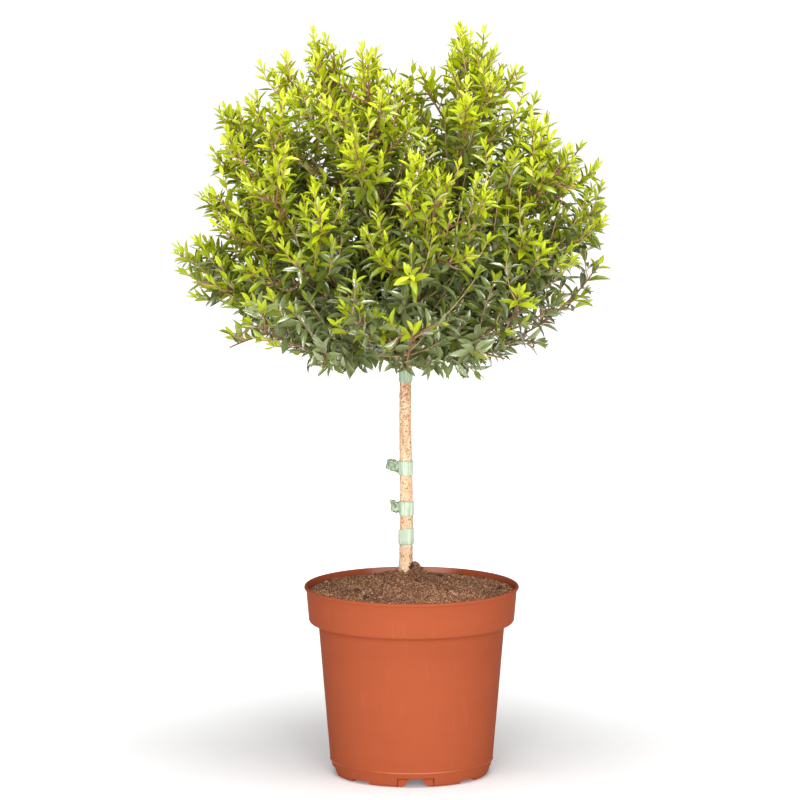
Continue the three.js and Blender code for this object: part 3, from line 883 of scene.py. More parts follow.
@dataclass
class Pot:
    """The moulded nursery pot. Its rim and its height come from the solid's box."""

    wall: float = 1.6
    bead: float = 1.5
    collar_top: float = 93.1
    collar_foot: float = 90.8
    collar_middle: float = 16.0
    collar_depth: float = 32.5
    collar_roll: float = 3.0
    body_top: float = 82.4
    body_foot: float = 72.0
    body_rows: tuple[float, ...] = (30.0, 55.0, 80.0, 105.0, 125.0)
    ring_height: float = 13.3
    ring_radius: float = 71.3
    ring_roll: float = 5.6
    ring_roll_height: float = 12.0
    ring_roll_power: float = 0.45
    ring_rows: tuple[float, ...] = (0.3, 1.2, 3.0, 5.6, 8.6, 12.0)
    ring_bead: float = 0.35
    ring_inner: float = 62.5
    floor: float = 8.0
    hub: float = 14.0
    drains: int = 4
    drain_turn: float = 3.0
    drain_half: float = 6.0
    drain_top_half: float = 5.4
    drain_height: float = 8.0
    drain_flare: float = 6.8
    drain_flare_power: float = 2.2
    drain_rows: tuple[float, ...] = (-1.0, 0.6, 2.2, 4.0, 6.0, 7.4)
    recess_half: float = 16.0
    recess_height: float = 8.1
    recess_depth: float = 5.2
    notch_half: float = 11.0
    notch_top_half: float = 10.2
    notch_height: float = 3.0
    cut_below: float = -1.0
    cut_inside: float = 2.0
    cut_outside: float = 12.0
    sharp_angle: float = 32.0
    columns: int = 192

    def __post_init__(self) -> None:
        """Reads the rim's radius and the height from the solid."""
        low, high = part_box("pot")
        self.height = high[2] / MM
        self.rim = (high[0] - low[0]) / 2.0 / MM

    def body_radius(self, height: float) -> float:
        """Outside radius of the tapered body.

        Args:
            height: a height over the floor.

        Returns:
            The radius there.
        """
        top = self.height - self.collar_depth
        share = (height - self.ring_height) / (top - self.ring_height)
        return lerp(self.body_foot, self.body_top, share)

    def profile(self) -> list[Pair]:
        """The wall's outline from the hub, up the outside, over the rim and down inside.

        Returns:
            (radius, height) pairs, the first and the last on the axis.
        """
        collar = self.height - self.collar_depth
        roll = self.collar_foot - self.collar_roll
        bead_height = self.height - self.bead
        bead_centre = self.rim - self.bead
        inner_floor = self.floor + self.wall
        ring = self.ring_radius - self.ring_roll
        ring_top, ring_edge = self.ring_height, self.body_foot + self.ring_bead
        return [
            (0.0, 0.0),
            (self.hub, 0.0),
            (self.hub + 0.3, 0.4),
            (self.hub + 1.0, self.floor),
            (self.ring_inner - 1.0, self.floor),
            (self.ring_inner - 0.2, 0.3),
            (self.ring_inner + 0.2, 0.0),
            *[
                (ring + self.ring_roll * (z / self.ring_roll_height) ** self.ring_roll_power, z)
                for z in self.ring_rows
            ],
            (self.body_foot - 0.35, ring_top - 0.5),
            (ring_edge, ring_top - 0.15),
            (ring_edge, ring_top + 0.05),
            (self.body_radius(ring_top + 0.7) - 0.05, ring_top + 0.7),
            (self.body_radius(ring_top + 2.5), ring_top + 2.5),
            *[(self.body_radius(z), z) for z in self.body_rows],
            (self.body_top - 0.05, collar - 0.5),
            (self.body_top + 0.5, collar),
            *arc(roll, collar + self.collar_roll, self.collar_roll, -90, 0, 8),
            (lerp(self.collar_foot, self.collar_top, 0.5), collar + self.collar_middle),
            (self.collar_top - 0.1, bead_height - self.bead - 0.8),
            (self.collar_top + 0.2, bead_height - self.bead * 0.9),
            *arc(bead_centre, bead_height, self.bead, -60, 150, 10),
            (self.collar_top - self.wall, bead_height - self.bead),
            (self.collar_foot - self.wall, collar + self.wall + 1.5),
            (self.collar_foot - self.wall - 1.5, collar + self.wall),
            (self.body_top - self.wall + 0.8, collar + self.wall),
            (self.body_top - self.wall, collar + self.wall - 1.0),
            (self.body_radius(inner_floor) - self.wall, inner_floor),
            (0.0, inner_floor),
        ]

    def cutter(self, corners: Sequence[Pair], inner: float, turn: float) -> Object:
        """A prism that cuts through the foot ring.

        Args:
            corners: its (across, height) outline, anticlockwise from the front.
            inner: the radius that it starts from.
            turn: degrees from the front.

        Returns:
            The prism.
        """
        far = self.ring_radius + self.cut_outside
        spin = Matrix.Rotation(radians(turn), 3, "Z")
        points = [spin @ Vector((x, -r, z)) * MM for r in (far, inner) for x, z in corners]
        n = len(corners)
        faces: Faces = [tuple(range(n)), tuple(reversed(range(n, 2 * n)))]
        faces += [(j, j + n, (j + 1) % n + n, (j + 1) % n) for j in range(n)]
        return mesh_object("pot_cutter", points, faces)

    def cutters(self) -> list[Object]:
        """Makes the prisms of all drains, recesses and notches.

        Returns:
            The prisms.
        """
        below, inner = self.cut_below, self.ring_inner - self.cut_inside
        flare = []
        for z in self.drain_rows:
            open_share = (1.0 - z / self.drain_height) ** self.drain_flare_power
            flare.append((self.drain_half + self.drain_flare * open_share, z))
        flare.append((self.drain_top_half, self.drain_height))
        mouth = flare + [(-x, z) for x, z in reversed(flare)]
        half, top = self.recess_half, self.recess_height
        recess = [(-half, below), (half, below), (half, top), (-half, top)]
        half, top_half, top = self.notch_half, self.notch_top_half, self.notch_height
        notch = [(-half, below), (half, below), (top_half, top), (-top_half, top)]
        made = []
        for i in range(self.drains):
            turn = self.drain_turn + 360.0 * i / self.drains
            made.append(self.cutter(mouth, inner, turn))
            made.append(self.cutter(recess, self.ring_radius - self.recess_depth, turn))
            made.append(self.cutter(notch, inner, turn + 180.0 / self.drains))
        return made

    def build(self) -> None:
        """Makes the pot and dresses it."""
        points, faces = turned(self.profile(), self.columns)
        source = mesh_object("pot_source", points, faces)
        cutters = self.cutters()
        for cutter in cutters:
            modifier = source.modifiers.new("cut", "BOOLEAN")
            modifier.operation, modifier.object, modifier.solver = "DIFFERENCE", cutter, "EXACT"
        piece = baked(source, "pot_shell")
        for cutter in cutters:
            bpy.data.objects.remove(cutter)
        piece.data.shade_smooth()
        piece.data.set_sharp_from_angle(angle=radians(self.sharp_angle))
        plastic = PotPlastic(
            drain_turn=self.drain_turn,
            recess_half=self.recess_half * MM,
            recess_top=self.recess_height * MM,
            ring_top=self.ring_height * MM,
        )
        piece.data.materials.clear()
        piece.data.materials.append(plastic.material())
        dress(piece, ["pot"])


@dataclass(frozen=True)
class Loose:
    """One kind of loose bits on the soil, with its sizes in metres.

    flat is a bit's height for its width, detail is how finely it is made, and density is how
    many lie on a square metre.
    """

    name: str
    dark: Colour
    light: Colour
    flat: float
    detail: int
    density: float
    smallest: float
    largest: float


class LooseKind(Enum):
    """What lies loose on the soil."""

    CRUMBS = Loose(
        "soil_crumbs", (112, 72, 50), (232, 178, 138), 0.9, 1, 330000.0, 0.0006, 0.0018
    )
    PEAT = Loose("soil_peat", (70, 45, 34), (138, 94, 70), 0.9, 1, 200000.0, 0.0006, 0.0017)
    CLODS = Loose("soil_clods", (92, 60, 45), (170, 120, 92), 0.85, 2, 9000.0, 0.0018, 0.004)
    LUMPS = Loose("soil_lumps", (58, 40, 32), (108, 75, 58), 0.9, 2, 900.0, 0.003, 0.0058)
    CHIPS = Loose("soil_chips", (168, 116, 84), (226, 176, 136), 0.3, 1, 9000.0, 0.0014, 0.0038)
    GRIT = Loose("soil_grit", (206, 178, 146), (238, 216, 188), 0.8, 1, 2400.0, 0.0008, 0.0018)


@dataclass
class Soil:
    """The potting soil: a lumpy mound with loose crumbs, chips and grit on it.

    Each pair in lumps is a pattern's fineness and its height.
    """

    pot: Pot
    foot: Vector
    edge_drop: float = 4.5
    edge_gap: float = 0.3
    ripple: float = 1.1
    ripple_share: float = 0.8
    lumps: tuple[Pair, ...] = ((0.16, 1.6), (0.45, 1.1), (1.1, 0.5))
    edge_fade: float = 0.04
    sink: float = 0.6
    mound: float = 4.5
    mound_spread: float = 190.0
    heap: float = 8.0
    heap_place: Triple = (9.5, -1.0, 0.0)
    heap_width: float = 8.0
    heap_power: float = 2.3
    heap_lumps: Pair = (0.35, 0.3)
    rings: int = 60
    ring_crowding: float = 0.9
    columns: int = 220
    bottom_rise: float = 1.0
    bottom_gap: float = 1.6
    loose_gap: float = 0.6
    crumb_fineness: float = 3.1
    crumb_unevenness: float = 0.75
    crumb_pattern: float = 500.0
    steepest: float = 0.55
    seed: int = 5

    def __post_init__(self) -> None:
        """Reads the mound's height from the solid."""
        self.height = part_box("potting_soil")[1][2] / MM
        self.edge = self.pot.height - self.edge_drop
        self.radius = self.pot.collar_top - self.pot.wall - self.edge_gap

    def smooth_height(self, share: float, angle: float) -> float:
        """The height of the solid's own surface.

        Args:
            share: the share of the way from the stem to the wall.
            angle: the angle round the stem.

        Returns:
            The height.
        """
        slope = 0.5 + 0.5 * cos(pi * min(1.0, share))
        ripple = sin(3 * angle + 7 * share) + 0.7 * sin(5 * angle - 11 * share)
        level = min(self.height, lerp(self.edge, self.height, slope))
        return level + self.ripple * ripple * sin(pi * share) * self.ripple_share

    def surface_point(self, share: float, angle: float) -> Vector:
        """A point on the lumpy surface.

        Args:
            share: the share of the way from the stem to the wall.
            angle: the angle round the stem.

        Returns:
            The point.
        """
        foot = Vector((self.foot.x, self.foot.y, 0.0))
        radius = share * self.radius
        out = Vector((radius * cos(angle), radius * sin(angle), 0.0))
        point = foot * (1.0 - share) + out
        lumps = sum(noise.noise(point * fineness) * height for fineness, height in self.lumps)
        away = point - foot
        near = (away - Vector(self.heap_place)).length / self.heap_width
        fineness, unevenness = self.heap_lumps
        heap = self.heap * exp(-(near**self.heap_power))
        heap *= 1.0 + unevenness * noise.noise(point * fineness)
        heap += self.mound * exp(-away.length_squared / self.mound_spread)
        fade = smoothstep(1.0 - share, 0.0, self.edge_fade)
        point.z = self.smooth_height(share, angle) + lumps * fade + heap - self.sink
        return point

    def build_bed(self) -> Object:
        """Makes the soil's body: the lumpy top and a skirt that closes it inside the pot.

        Returns:
            The bed.
        """
        points = [self.surface_point(0.0, 0.0) * MM]
        for i in range(1, self.rings + 1):
            share = (i / self.rings) ** self.ring_crowding
            for j in range(self.columns):
                points.append(self.surface_point(share, step_angle(j, self.columns)) * MM)
        under = len(points)
        bottom = self.pot.height - self.pot.collar_depth + self.pot.wall + self.bottom_rise
        radius = self.pot.collar_foot - self.pot.wall - self.bottom_gap
        for j in range(self.columns):
            angle = step_angle(j, self.columns)
            points.append(Vector((radius * cos(angle), radius * sin(angle), bottom)) * MM)
        points.append(Vector((0.0, 0.0, bottom)) * MM)
        faces: Faces = []
        last = 1 + (self.rings - 1) * self.columns
        for j in range(self.columns):
            k = (j + 1) % self.columns
            faces.append((0, 1 + j, 1 + k))
            faces.append((under + k, under + j, len(points) - 1))
            faces.append((last + j, under + j, under + k, last + k))
        for i in range(self.rings - 1):
            low, high = 1 + i * self.columns, 1 + (i + 1) * self.columns
            for j in range(self.columns):
                k = (j + 1) % self.columns
                faces.append((low + j, high + j, high + k, low + k))
        finish = PottingSoil("soil_bed", (84, 55, 41), (160, 112, 84))
        return mesh_object("soil_bed", points, faces, finish.material())

    def crumb(self, kind: Loose, seed: int) -> Object:
        """Makes one irregular bit, about 1 across.

        Args:
            kind: what it is a bit of.
            seed: a number that fixes its shape.

        Returns:
            The bit.
        """
        name = f"{kind.name}_form"
        mesh = bpy.data.meshes.new(name)
        shape = bmesh.new()
        bmesh.ops.create_icosphere(shape, subdivisions=kind.detail, radius=0.5)
        for corner in shape.verts:
            place = corner.co * self.crumb_fineness + Vector((seed * 3.7, 0, 0))
            corner.co *= 1.0 + self.crumb_unevenness * noise.noise(place)
            corner.co.z *= kind.flat
        shape.to_mesh(mesh)
        shape.free()
        return add_object(name, mesh)

    def crumb_rule(self) -> GeometryRule:
        """Scatters copies of a bit over a surface, each turned and sized at random.

        Returns:
            The rule.
        """
        rule = GeometryRule(
            "scatter_crumbs",
            {
                "Crumb": "NodeSocketObject",
                "Density": "NodeSocketFloat",
                "Smallest": "NodeSocketFloat",
                "Largest": "NodeSocketFloat",
                "Reach": "NodeSocketFloat",
                "Seed": "NodeSocketInt",
            },
        )
        full_turn = (6.28, 6.28, 6.28)
        seed, reach = rule.given("Seed"), rule.given("Reach")
        lift = rule.part(rule.node("GeometryNodeInputNormal"), "Z")
        values = {0: lift, 1: self.steepest}
        facing = rule.node("FunctionNodeCompare", {"operation": "GREATER_THAN"}, values)
        values = {0: rule.node("GeometryNodeInputPosition"), 1: (1.0, 1.0, 0.0)}
        flat = rule.node("ShaderNodeVectorMath", {"operation": "MULTIPLY"}, values)
        values = {0: rule.length(flat), 1: reach}
        within = rule.node("FunctionNodeCompare", {"operation": "LESS_THAN"}, values)
        values = {
            "Mesh": rule.given("Geometry"),
            "Selection": rule.node(
                "FunctionNodeBooleanMath", {"operation": "AND"}, {0: facing, 1: within}
            ),
            "Density": rule.given("Density"),
            "Seed": seed,
        }
        scatter = rule.node("GeometryNodeDistributePointsOnFaces", {}, values)
        values = {2: rule.given("Smallest"), 3: rule.given("Largest"), "Seed": seed}
        size = rule.node("FunctionNodeRandomValue", {"data_type": "FLOAT"}, values, 1)
        values = {0: (0.0, 0.0, 0.0), 1: full_turn, "Seed": seed}
        turn = rule.node("FunctionNodeRandomValue", {"data_type": "FLOAT_VECTOR"}, values)
        crumb = rule.node("GeometryNodeObjectInfo", {}, {"Object": rule.given("Crumb")}, "Geometry")
        values = {
            "Points": scatter,
            "Instance": crumb,
            "Rotation": rule.node("FunctionNodeEulerToRotation", {}, {0: turn}),
            "Scale": size,
        }
        copies = rule.node("GeometryNodeInstanceOnPoints", {}, values)
        rule.finish(copies)
        return rule

    def build(self) -> None:
        """Makes the bed of soil and what lies loose on it."""
        bed = self.build_bed()
        rule = self.crumb_rule()
        for number, option in enumerate(LooseKind):
            kind = option.value
            crumb = self.crumb(kind, number)
            source = add_object(f"{kind.name}_source", bed.data.copy())
            finish = PottingSoil(kind.name, kind.dark, kind.light, self.crumb_pattern)
            piece = rule.run(
                source,
                kind.name,
                finish.material(),
                Crumb=crumb,
                Density=kind.density,
                Smallest=kind.smallest,
                Largest=kind.largest,
                Reach=(self.radius - self.loose_gap) * MM - kind.largest / 2.0,
                Seed=self.seed + number,
            )
            bpy.data.objects.remove(crumb)
            dress(piece, ["potting_soil"])
        dress(bed, ["potting_soil"])


# ---- stem and ties


@dataclass
class Stem:
    """The clear stem with its flare, its flaky bark and the knuckle under the head.

    Strips, flakes and grain are how fine the bark's relief is round the stem and up it, and how
    high it stands. Each pair in scars is a height and an angle in radians.
    """

    head_radius: float = 7.4
    head_swell: float = 7.0
    swell_power: float = 0.6
    flare_radius: float = 7.6
    flare_height: float = 14.0
    low_radius: float = 6.05
    high_radius: float = 4.85
    sway: float = 0.5
    buried: float = 3.0
    strips: Triple = (2.6, 0.045, 0.22)
    flakes: Triple = (6.0, 0.16, 0.2)
    flake_edge: Pair = (-0.1, 0.15)
    grain: Triple = (11.0, 0.6, 0.1)
    bark_depth: float = 0.1
    scars: tuple[Pair, ...] = (
        *((202.0, 5.3), (231.0, 2.2), (256.0, 4.4)),
        *((291.0, 4.9), (318.0, 0.8), (337.0, 3.6)),
    )
    scar_height: float = 0.55
    scar_spread: float = 5.0
    scar_radius: float = 5.5
    dome_lifts: tuple[float, ...] = (20.0, 42.0, 64.0, 80.0)
    dome_relief: float = 0.8
    columns: int = 56
    rows: int = 330

    def __post_init__(self) -> None:
        """Reads the foot and the knuckle from the solid."""
        low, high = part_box("stem")
        self.foot = Vector(((low[0] + high[0]) / 2, (low[1] + high[1]) / 2, low[2])) / MM
        self.knuckle = Vector((self.foot.x, self.foot.y, high[2] / MM - self.head_radius))

    def centre(self, height: float) -> Vector:
        """The middle of the stem.

        Args:
            height: a height over the floor.

        Returns:
            The middle there.
        """
        share = (height - self.foot.z) / (self.knuckle.z - self.foot.z)
        bend = self.sway * sin(2.0 * pi * share) * clamp(4.0 * share)
        return Vector((self.foot.x + bend, self.foot.y - bend / 2.0, height))

    def radius(self, height: float) -> float:
        """The stem's plain radius, as the solid has it.

        Args:
            height: a height over the floor.

        Returns:
            The radius there.
        """
        rise = height - self.foot.z
        length = self.knuckle.z - self.foot.z
        taper = lerp(self.low_radius, self.high_radius, clamp(rise / length))
        flare = max(0.0, 1.0 - rise / self.flare_height) ** 2
        swell = clamp(1.0 - (self.knuckle.z - height) / self.head_swell)
        flare *= self.flare_radius - self.low_radius
        return taper + flare + swell**self.swell_power * (self.head_radius - self.high_radius)

    def relief(self, angle: float, height: float) -> float:
        """How far the bark stands out: strips, flakes, grain and old leaf scars.

        Args:
            angle: the angle round the stem.
            height: a height over the floor.

        Returns:
            The relief there.
        """
        way = level_way(angle)
        around, upward, stands = self.strips
        total = stands * noise.noise(way * around + Vector((0, 0, height * upward)))
        around, upward, stands = self.flakes
        flake = noise.noise(way * around + Vector((7.0, 0, height * upward)))
        total += stands * smoothstep(flake, *self.flake_edge)
        around, upward, stands = self.grain
        total += stands * noise.noise(way * around + Vector((0, 3.0, height * upward)))
        for place, turn in self.scars:
            aside = atan2(sin(angle - turn), cos(angle - turn)) * self.scar_radius
            near = exp(-(aside * aside + (height - place) ** 2) / self.scar_spread)
            total += self.scar_height * near
        return total - self.bark_depth

    def build(self) -> None:
        """Makes the stem with its relief in real geometry."""
        points: list[Vector] = []
        top = self.knuckle.z
        start = self.foot.z - self.buried
        for i in range(self.rows + 1):
            height = lerp(start, top, i / self.rows)
            clear = max(height, self.foot.z)
            middle = self.centre(clear)
            middle.z = height
            for j in range(self.columns):
                angle = step_angle(j, self.columns)
                radius = self.radius(clear) + self.relief(angle, height)
                points.append(middle + level_way(angle) * radius)
        for lift in self.dome_lifts:
            reach = cos(radians(lift)) * self.head_radius
            height = top + sin(radians(lift)) * self.head_radius
            for j in range(self.columns):
                angle = step_angle(j, self.columns)
                radius = reach + self.relief(angle, height) * self.dome_relief
                points.append(self.knuckle + level_way(angle) * radius + UP * (height - top))
        rows = self.rows + 1 + len(self.dome_lifts)
        faces = ring_faces(rows, self.columns)
        faces.append(tuple(reversed(range(self.columns))))
        faces.append(tuple(range((rows - 1) * self.columns, rows * self.columns)))
        bark = FlakyBark("stem_bark", (246, 222, 188), (226, 176, 134), (146, 94, 62))
        piece = mesh_object("stem_bark", [p * MM for p in points], faces, bark.material())
        dress(piece, ["stem"])


@dataclass
class Tie:
    """A band of tying tape round the stem, drawn tight, with its knot where it has one.

    knot is how far the knot stands out, lobe how uneven its outline is, and hollow how deep its
    cup is. slant is how much higher the band ends on one side. Pleats and creases are how fine
    they are round the band and up it, and how high they stand.
    """

    node: str
    stem: Stem
    tape: Material
    knot: float = 0.0
    lobe: float = 0.1
    slant: float = 0.0
    slant_turn: float = 1.1
    knotted_height: float = 13.0
    inside: float = 0.28
    outside: float = 0.62
    edge_roll: float = 0.5
    edge_share: float = 0.16
    pleats: Triple = (5.0, 0.05, 0.16)
    creases: Triple = (2.2, 0.3, 0.18)
    hollow: float = 2.6
    hollow_place: Pair = (0.15, 0.1)
    hollow_spread: float = 0.16
    thickness: float = 2.3
    knot_root: float = 0.5
    knot_forward: float = 0.6
    square_power: float = -0.75
    fold_scale: float = 2.1
    fold_depth: float = 0.8
    fold_push: Triple = (0.7, 1.3, 0.8)
    wrinkles: Pair = (2.7, 0.25)
    knot_slopes: Pair = (0.5, 0.3)
    knot_rise: float = 0.27
    columns: int = 96
    rows: int = 22
    knot_columns: int = 56
    knot_rows: int = 13

    def __post_init__(self) -> None:
        """Reads the band's place from the solid."""
        low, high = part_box(self.node)
        self.low, self.high = low[2] / MM, high[2] / MM
        if self.knot > 0.0:
            self.high = self.low + self.knotted_height

    def band(self) -> MeshParts:
        """The wrapped film: a pleated band, closed over its edges.

        Returns:
            The corners and the faces.
        """
        points: list[Vector] = []
        inside, outside = [], []
        for i in range(self.rows + 1):
            share = i / self.rows
            edge = min(share, 1.0 - share) * 2.0
            roll = self.edge_roll * smoothstep(edge, 0.0, self.edge_share)
            outside.append((share, self.outside + roll))
            inside.append((share, self.inside))
        loop = outside + list(reversed(inside))
        for share, out in loop:
            for j in range(self.columns):
                angle = step_angle(j, self.columns)
                front = cos(angle + self.slant_turn)
                height = lerp(self.low, self.high, share) + self.slant * front * share
                ring = level_way(angle)
                around, upward, pleat = self.pleats
                pleat *= noise.noise(ring * around + Vector((0, 0, height * upward)))
                around, upward, crease = self.creases
                crease *= noise.noise(ring * around + Vector((4.0, 0, height * upward)))
                radius = self.stem.radius(height) + out
                if out > self.inside:
                    radius += pleat + crease
                points.append(self.stem.centre(height) + ring * radius)
        faces = ring_faces(len(loop), self.columns)
        last = (len(loop) - 1) * self.columns
        for j in range(self.columns):
            k = (j + 1) % self.columns
            faces.append((last + j, last + k, k, j))
        return points, faces

    def crumple(self) -> MeshParts:
        """The knot: a crumpled cup of folded film that stands out to the side.

        Returns:
            The corners and the faces.
        """
        points: list[Vector] = []
        steps, layers = self.knot_columns, self.knot_rows
        middle = self.stem.centre((self.low + self.high) / 2.0)
        edge = self.stem.radius(middle.z) - self.knot_root
        push_x, push_y, push_z = self.fold_push
        hollow_x, hollow_z = self.hollow_place
        wrinkle_scale, wrinkle = self.wrinkles
        near_slope, far_slope = self.knot_slopes
        for side in (1.0, -1.0):
            for i in range(layers):
                rho = i / (layers - 1) if side > 0 else 1.0 - i / (layers - 1)
                for j in range(steps):
                    turn = step_angle(j, steps)
                    square = max(abs(cos(turn)), abs(sin(turn))) ** self.square_power
                    lobes = square * (1.0 + self.lobe * cos(3.0 * turn + self.low))
                    x, z = cos(turn) * rho * lobes, sin(turn) * rho * lobes
                    out = clamp((x + 1.0) / 2.0, 0.0, 1.1)
                    scale = self.fold_scale
                    place = Vector((x * scale, z * scale, side * self.fold_depth + self.low))
                    fold = noise.noise(place) + wrinkle * noise.noise(place * wrinkle_scale)
                    depth = self.thickness * sqrt(max(0.0, 1.0 - rho * rho))
                    if side > 0:
                        off = (x - hollow_x) ** 2 + (z - hollow_z) ** 2
                        depth -= self.hollow * exp(-off / self.hollow_spread)
                    rise = lerp(z * near_slope, z * far_slope + self.knot_rise, out)
                    rise *= self.high - self.low
                    left = middle.x - edge - out * (self.knot + self.knot_root) + fold * push_x
                    back = middle.y - side * depth + fold * push_y * rho - self.knot_forward
                    points.append(Vector((left, back, middle.z + rise + fold * push_z)))
        return points, ring_faces(2 * layers, steps)

    @staticmethod
    def closed(name: str, points: list[Vector], faces: Faces, material: Material) -> Object:
        """Makes a mesh whose doubled corners are joined and whose faces look outward.

        Args:
            name: the piece's name.
            points: its corners in millimetres.
            faces: corner numbers.
            material: its finish.

        Returns:
            The piece.
        """
        piece = mesh_object(name, [p * MM for p in points], faces, material)
        shape = bmesh.new()
        shape.from_mesh(piece.data)
        bmesh.ops.remove_doubles(shape, verts=shape.verts, dist=1e-6)
        bmesh.ops.recalc_face_normals(shape, faces=shape.faces)
        shape.to_mesh(piece.data)
        shape.free()
        return piece

    def build(self) -> None:
        """Makes the band, and its knot where it has one."""
        dress(self.closed(f"{self.node}_band", *self.band(), self.tape), [self.node])
        if self.knot > 0.0:
            # The knot's film is a darker copy of the tape: painted shade on the crumpled knot.
            crumpled = TyingTape(f"{self.node}_film", (172, 190, 158), (88, 106, 80), 0.45)
            knot = self.closed(f"{self.node}_knot", *self.crumple(), crumpled.material())
            dress(knot, [self.node])


# ---- plan of the head


@dataclass(frozen=True)
class Tier:
    """A ring of foliage masses, by their directions out of the knuckle in degrees."""

    name: str
    count: int
    elevation: float
    turn: float


@dataclass
class Mass:
    """One mass of foliage: its direction out of the knuckle and its twig tips."""

    tier: str
    way: Vector
    size: float
    tips: list[Vector] = field(default_factory=list)


@dataclass
class HeadPlan:
    """Where the head's boughs, stems and twigs go, by the same rule as the solids'.

    Reach is the distance from the knuckle to the outline. The leans make it differ from left to
    right, each over its own band of height, and the parting divides the top.
    """

    knuckle: Vector
    side_reach: float = 117.0
    top_reach: float = 310.0
    rise: float = 0.88
    low_lean: float = 0.19
    low_band: Pair = (0.45, 0.6)
    high_lean: float = 0.09
    high_band: Pair = (0.72, 0.82)
    top_lean: float = 0.25
    top_band: Pair = (0.92, 0.99)
    floor: float = 355.0
    floor_curve: float = 0.0026
    floor_lean: float = 0.08
    parting_depth: float = 0.14
    parting_x: float = 1.0
    parting_width: float = 28.0
    seed: int = 23
    turn_scatter: float = 7.0
    elevation_scatter: float = 4.0
    shell_tips: int = 126
    shyness: float = 0.07
    under_tips: int = 16
    under_span: Pair = (0.5, 0.95)
    under_scatter: float = 6.0
    bough_root: float = 3.0
    bough_rise: float = 0.45
    bough_entry: float = 0.36
    bough_radius: float = 2.5
    bough_tip_radius: float = 1.6
    side_angle: float = 28.0
    side_radius: float = 0.9
    skirt_place: float = 0.2
    top_place: float = 0.15
    top_step: float = 0.14
    stem_rise: float = 0.08
    stem_short: float = 12.0
    stem_tip_radius: float = 0.55
    twig_angle: float = 42.0
    twig_first: float = 0.06
    twig_step: float = 0.06
    twig_last: float = 0.9
    twig_lift: float = 0.4
    twig_bend: float = 0.45
    twig_hold: float = 5.0
    twig_radius: float = 1.25
    twig_tip_radius: float = 0.6
    tiers: tuple[Tier, ...] = (
        Tier("skirt", 7, 15.0, 12.0),
        Tier("shoulder", 6, 43.0, 34.0),
        Tier("top", 4, 71.0, 58.0),
    )

    def __post_init__(self) -> None:
        """Lays out the masses and everything that carries them."""
        self.masses = self.plan_masses()
        self.plan_tips()
        self.boughs = self.plan_boughs()

    @staticmethod
    def direction(azimuth: float, elevation: float) -> Vector:
        """A direction from two angles in radians."""
        flat = cos(elevation)
        return Vector((flat * cos(azimuth), flat * sin(azimuth), sin(elevation)))

    def reach(self, way: Vector) -> float:
        """How far the head goes from the knuckle.

        Args:
            way: a direction out of the knuckle.

        Returns:
            The distance to the outline.
        """
        lift = max(0.0, way.z) ** self.rise
        low = self.low_lean * (1.0 - smoothstep(lift, *self.low_band))
        high = self.high_lean * smoothstep(lift, *self.high_band)
        summit = self.top_lean * smoothstep(lift, *self.top_band)
        lean = 1.0 + way.x * (summit - low - high)
        far = lerp(self.side_reach, self.top_reach, lift) * lean
        across = (far * way.x + self.knuckle.x - self.parting_x) / self.parting_width
        return far * (1.0 - self.parting_depth * lift**3 * exp(-across * across))

    def underside(self, point: Vector) -> float:
        """Height of the head's underside, straight below or above a point.

        Args:
            point: the point.

        Returns:
            The height over the floor.
        """
        x, y = point.x - self.knuckle.x, point.y - self.knuckle.y
        flat = hypot(x, y)
        return self.floor + self.floor_curve * flat * (flat + self.floor_lean * x)

    def aside(self, point: Vector) -> float:
        """How far a point lies from the stem's line."""
        return hypot(point.x - self.knuckle.x, point.y - self.knuckle.y)

    def share(self, point: Vector) -> float:
        """How far out a point lies, from 0 at the knuckle to 1 on the outline."""
        ray = point - self.knuckle
        return ray.length / self.reach(ray.normalized())

    def plan_masses(self) -> list[Mass]:
        """Lays out the masses of all tiers, with their seeded scatter.

        Returns:
            The masses, without twig tips yet.
        """
        random = seeded(self.seed)
        masses = []
        for tier in self.tiers:
            for i in range(tier.count):
                azimuth = tier.turn + 360.0 * i / tier.count
                azimuth += (random() * 2.0 - 1.0) * self.turn_scatter
                elevation = tier.elevation + (random() * 2.0 - 1.0) * self.elevation_scatter
                way = self.direction(radians(azimuth), radians(elevation))
                masses.append(Mass(tier.name, way, self.reach(way)))
        return masses

    def add_tip(self, tip: Vector) -> None:
        """Gives a twig tip to the mass that it belongs to.

        Args:
            tip: the tip's place.
        """
        ray = tip - self.knuckle
        owner = max(self.masses, key=lambda mass: ray.dot(mass.way))
        owner.tips.append(tip)

    def plan_tips(self) -> None:
        """Spreads the twig tips over the outline and round the underside."""
        random = seeded(self.seed + 1)
        side, top = self.side_reach, self.top_reach
        for i in range(self.shell_tips):
            share = (i + 0.5) / self.shell_tips
            rise = (lerp(side**3, top**3, share) ** (1.0 / 3.0) - side) / (top - side)
            way = self.direction(i * GOLDEN_ANGLE, asin(rise))
            far = self.reach(way) * (1.0 - self.shyness * random() ** 2)
            self.add_tip(self.knuckle + way * far)
        for i in range(self.under_tips):
            way = self.direction(i * GOLDEN_ANGLE, 0.0)
            tip = self.knuckle + way * (self.reach(way) * lerp(*self.under_span, random()))
            tip.z = self.underside(tip) + self.under_scatter * random()
            self.add_tip(tip)

    def bough(self, mass: Mass, start: Vector, out: Vector, radius: float) -> Curve:
        """A bough to the place where it enters its mass.

        Args:
            mass: the mass that it carries.
            start: where it starts.
            out: the direction that it starts in.
            radius: its radius there.

        Returns:
            The bough.
        """
        tip = self.knuckle + mass.way * (mass.size * self.bough_entry)
        middle = start + out * ((tip - start).length * 0.5)
        return Curve(start, middle, tip, radius, self.bough_tip_radius)

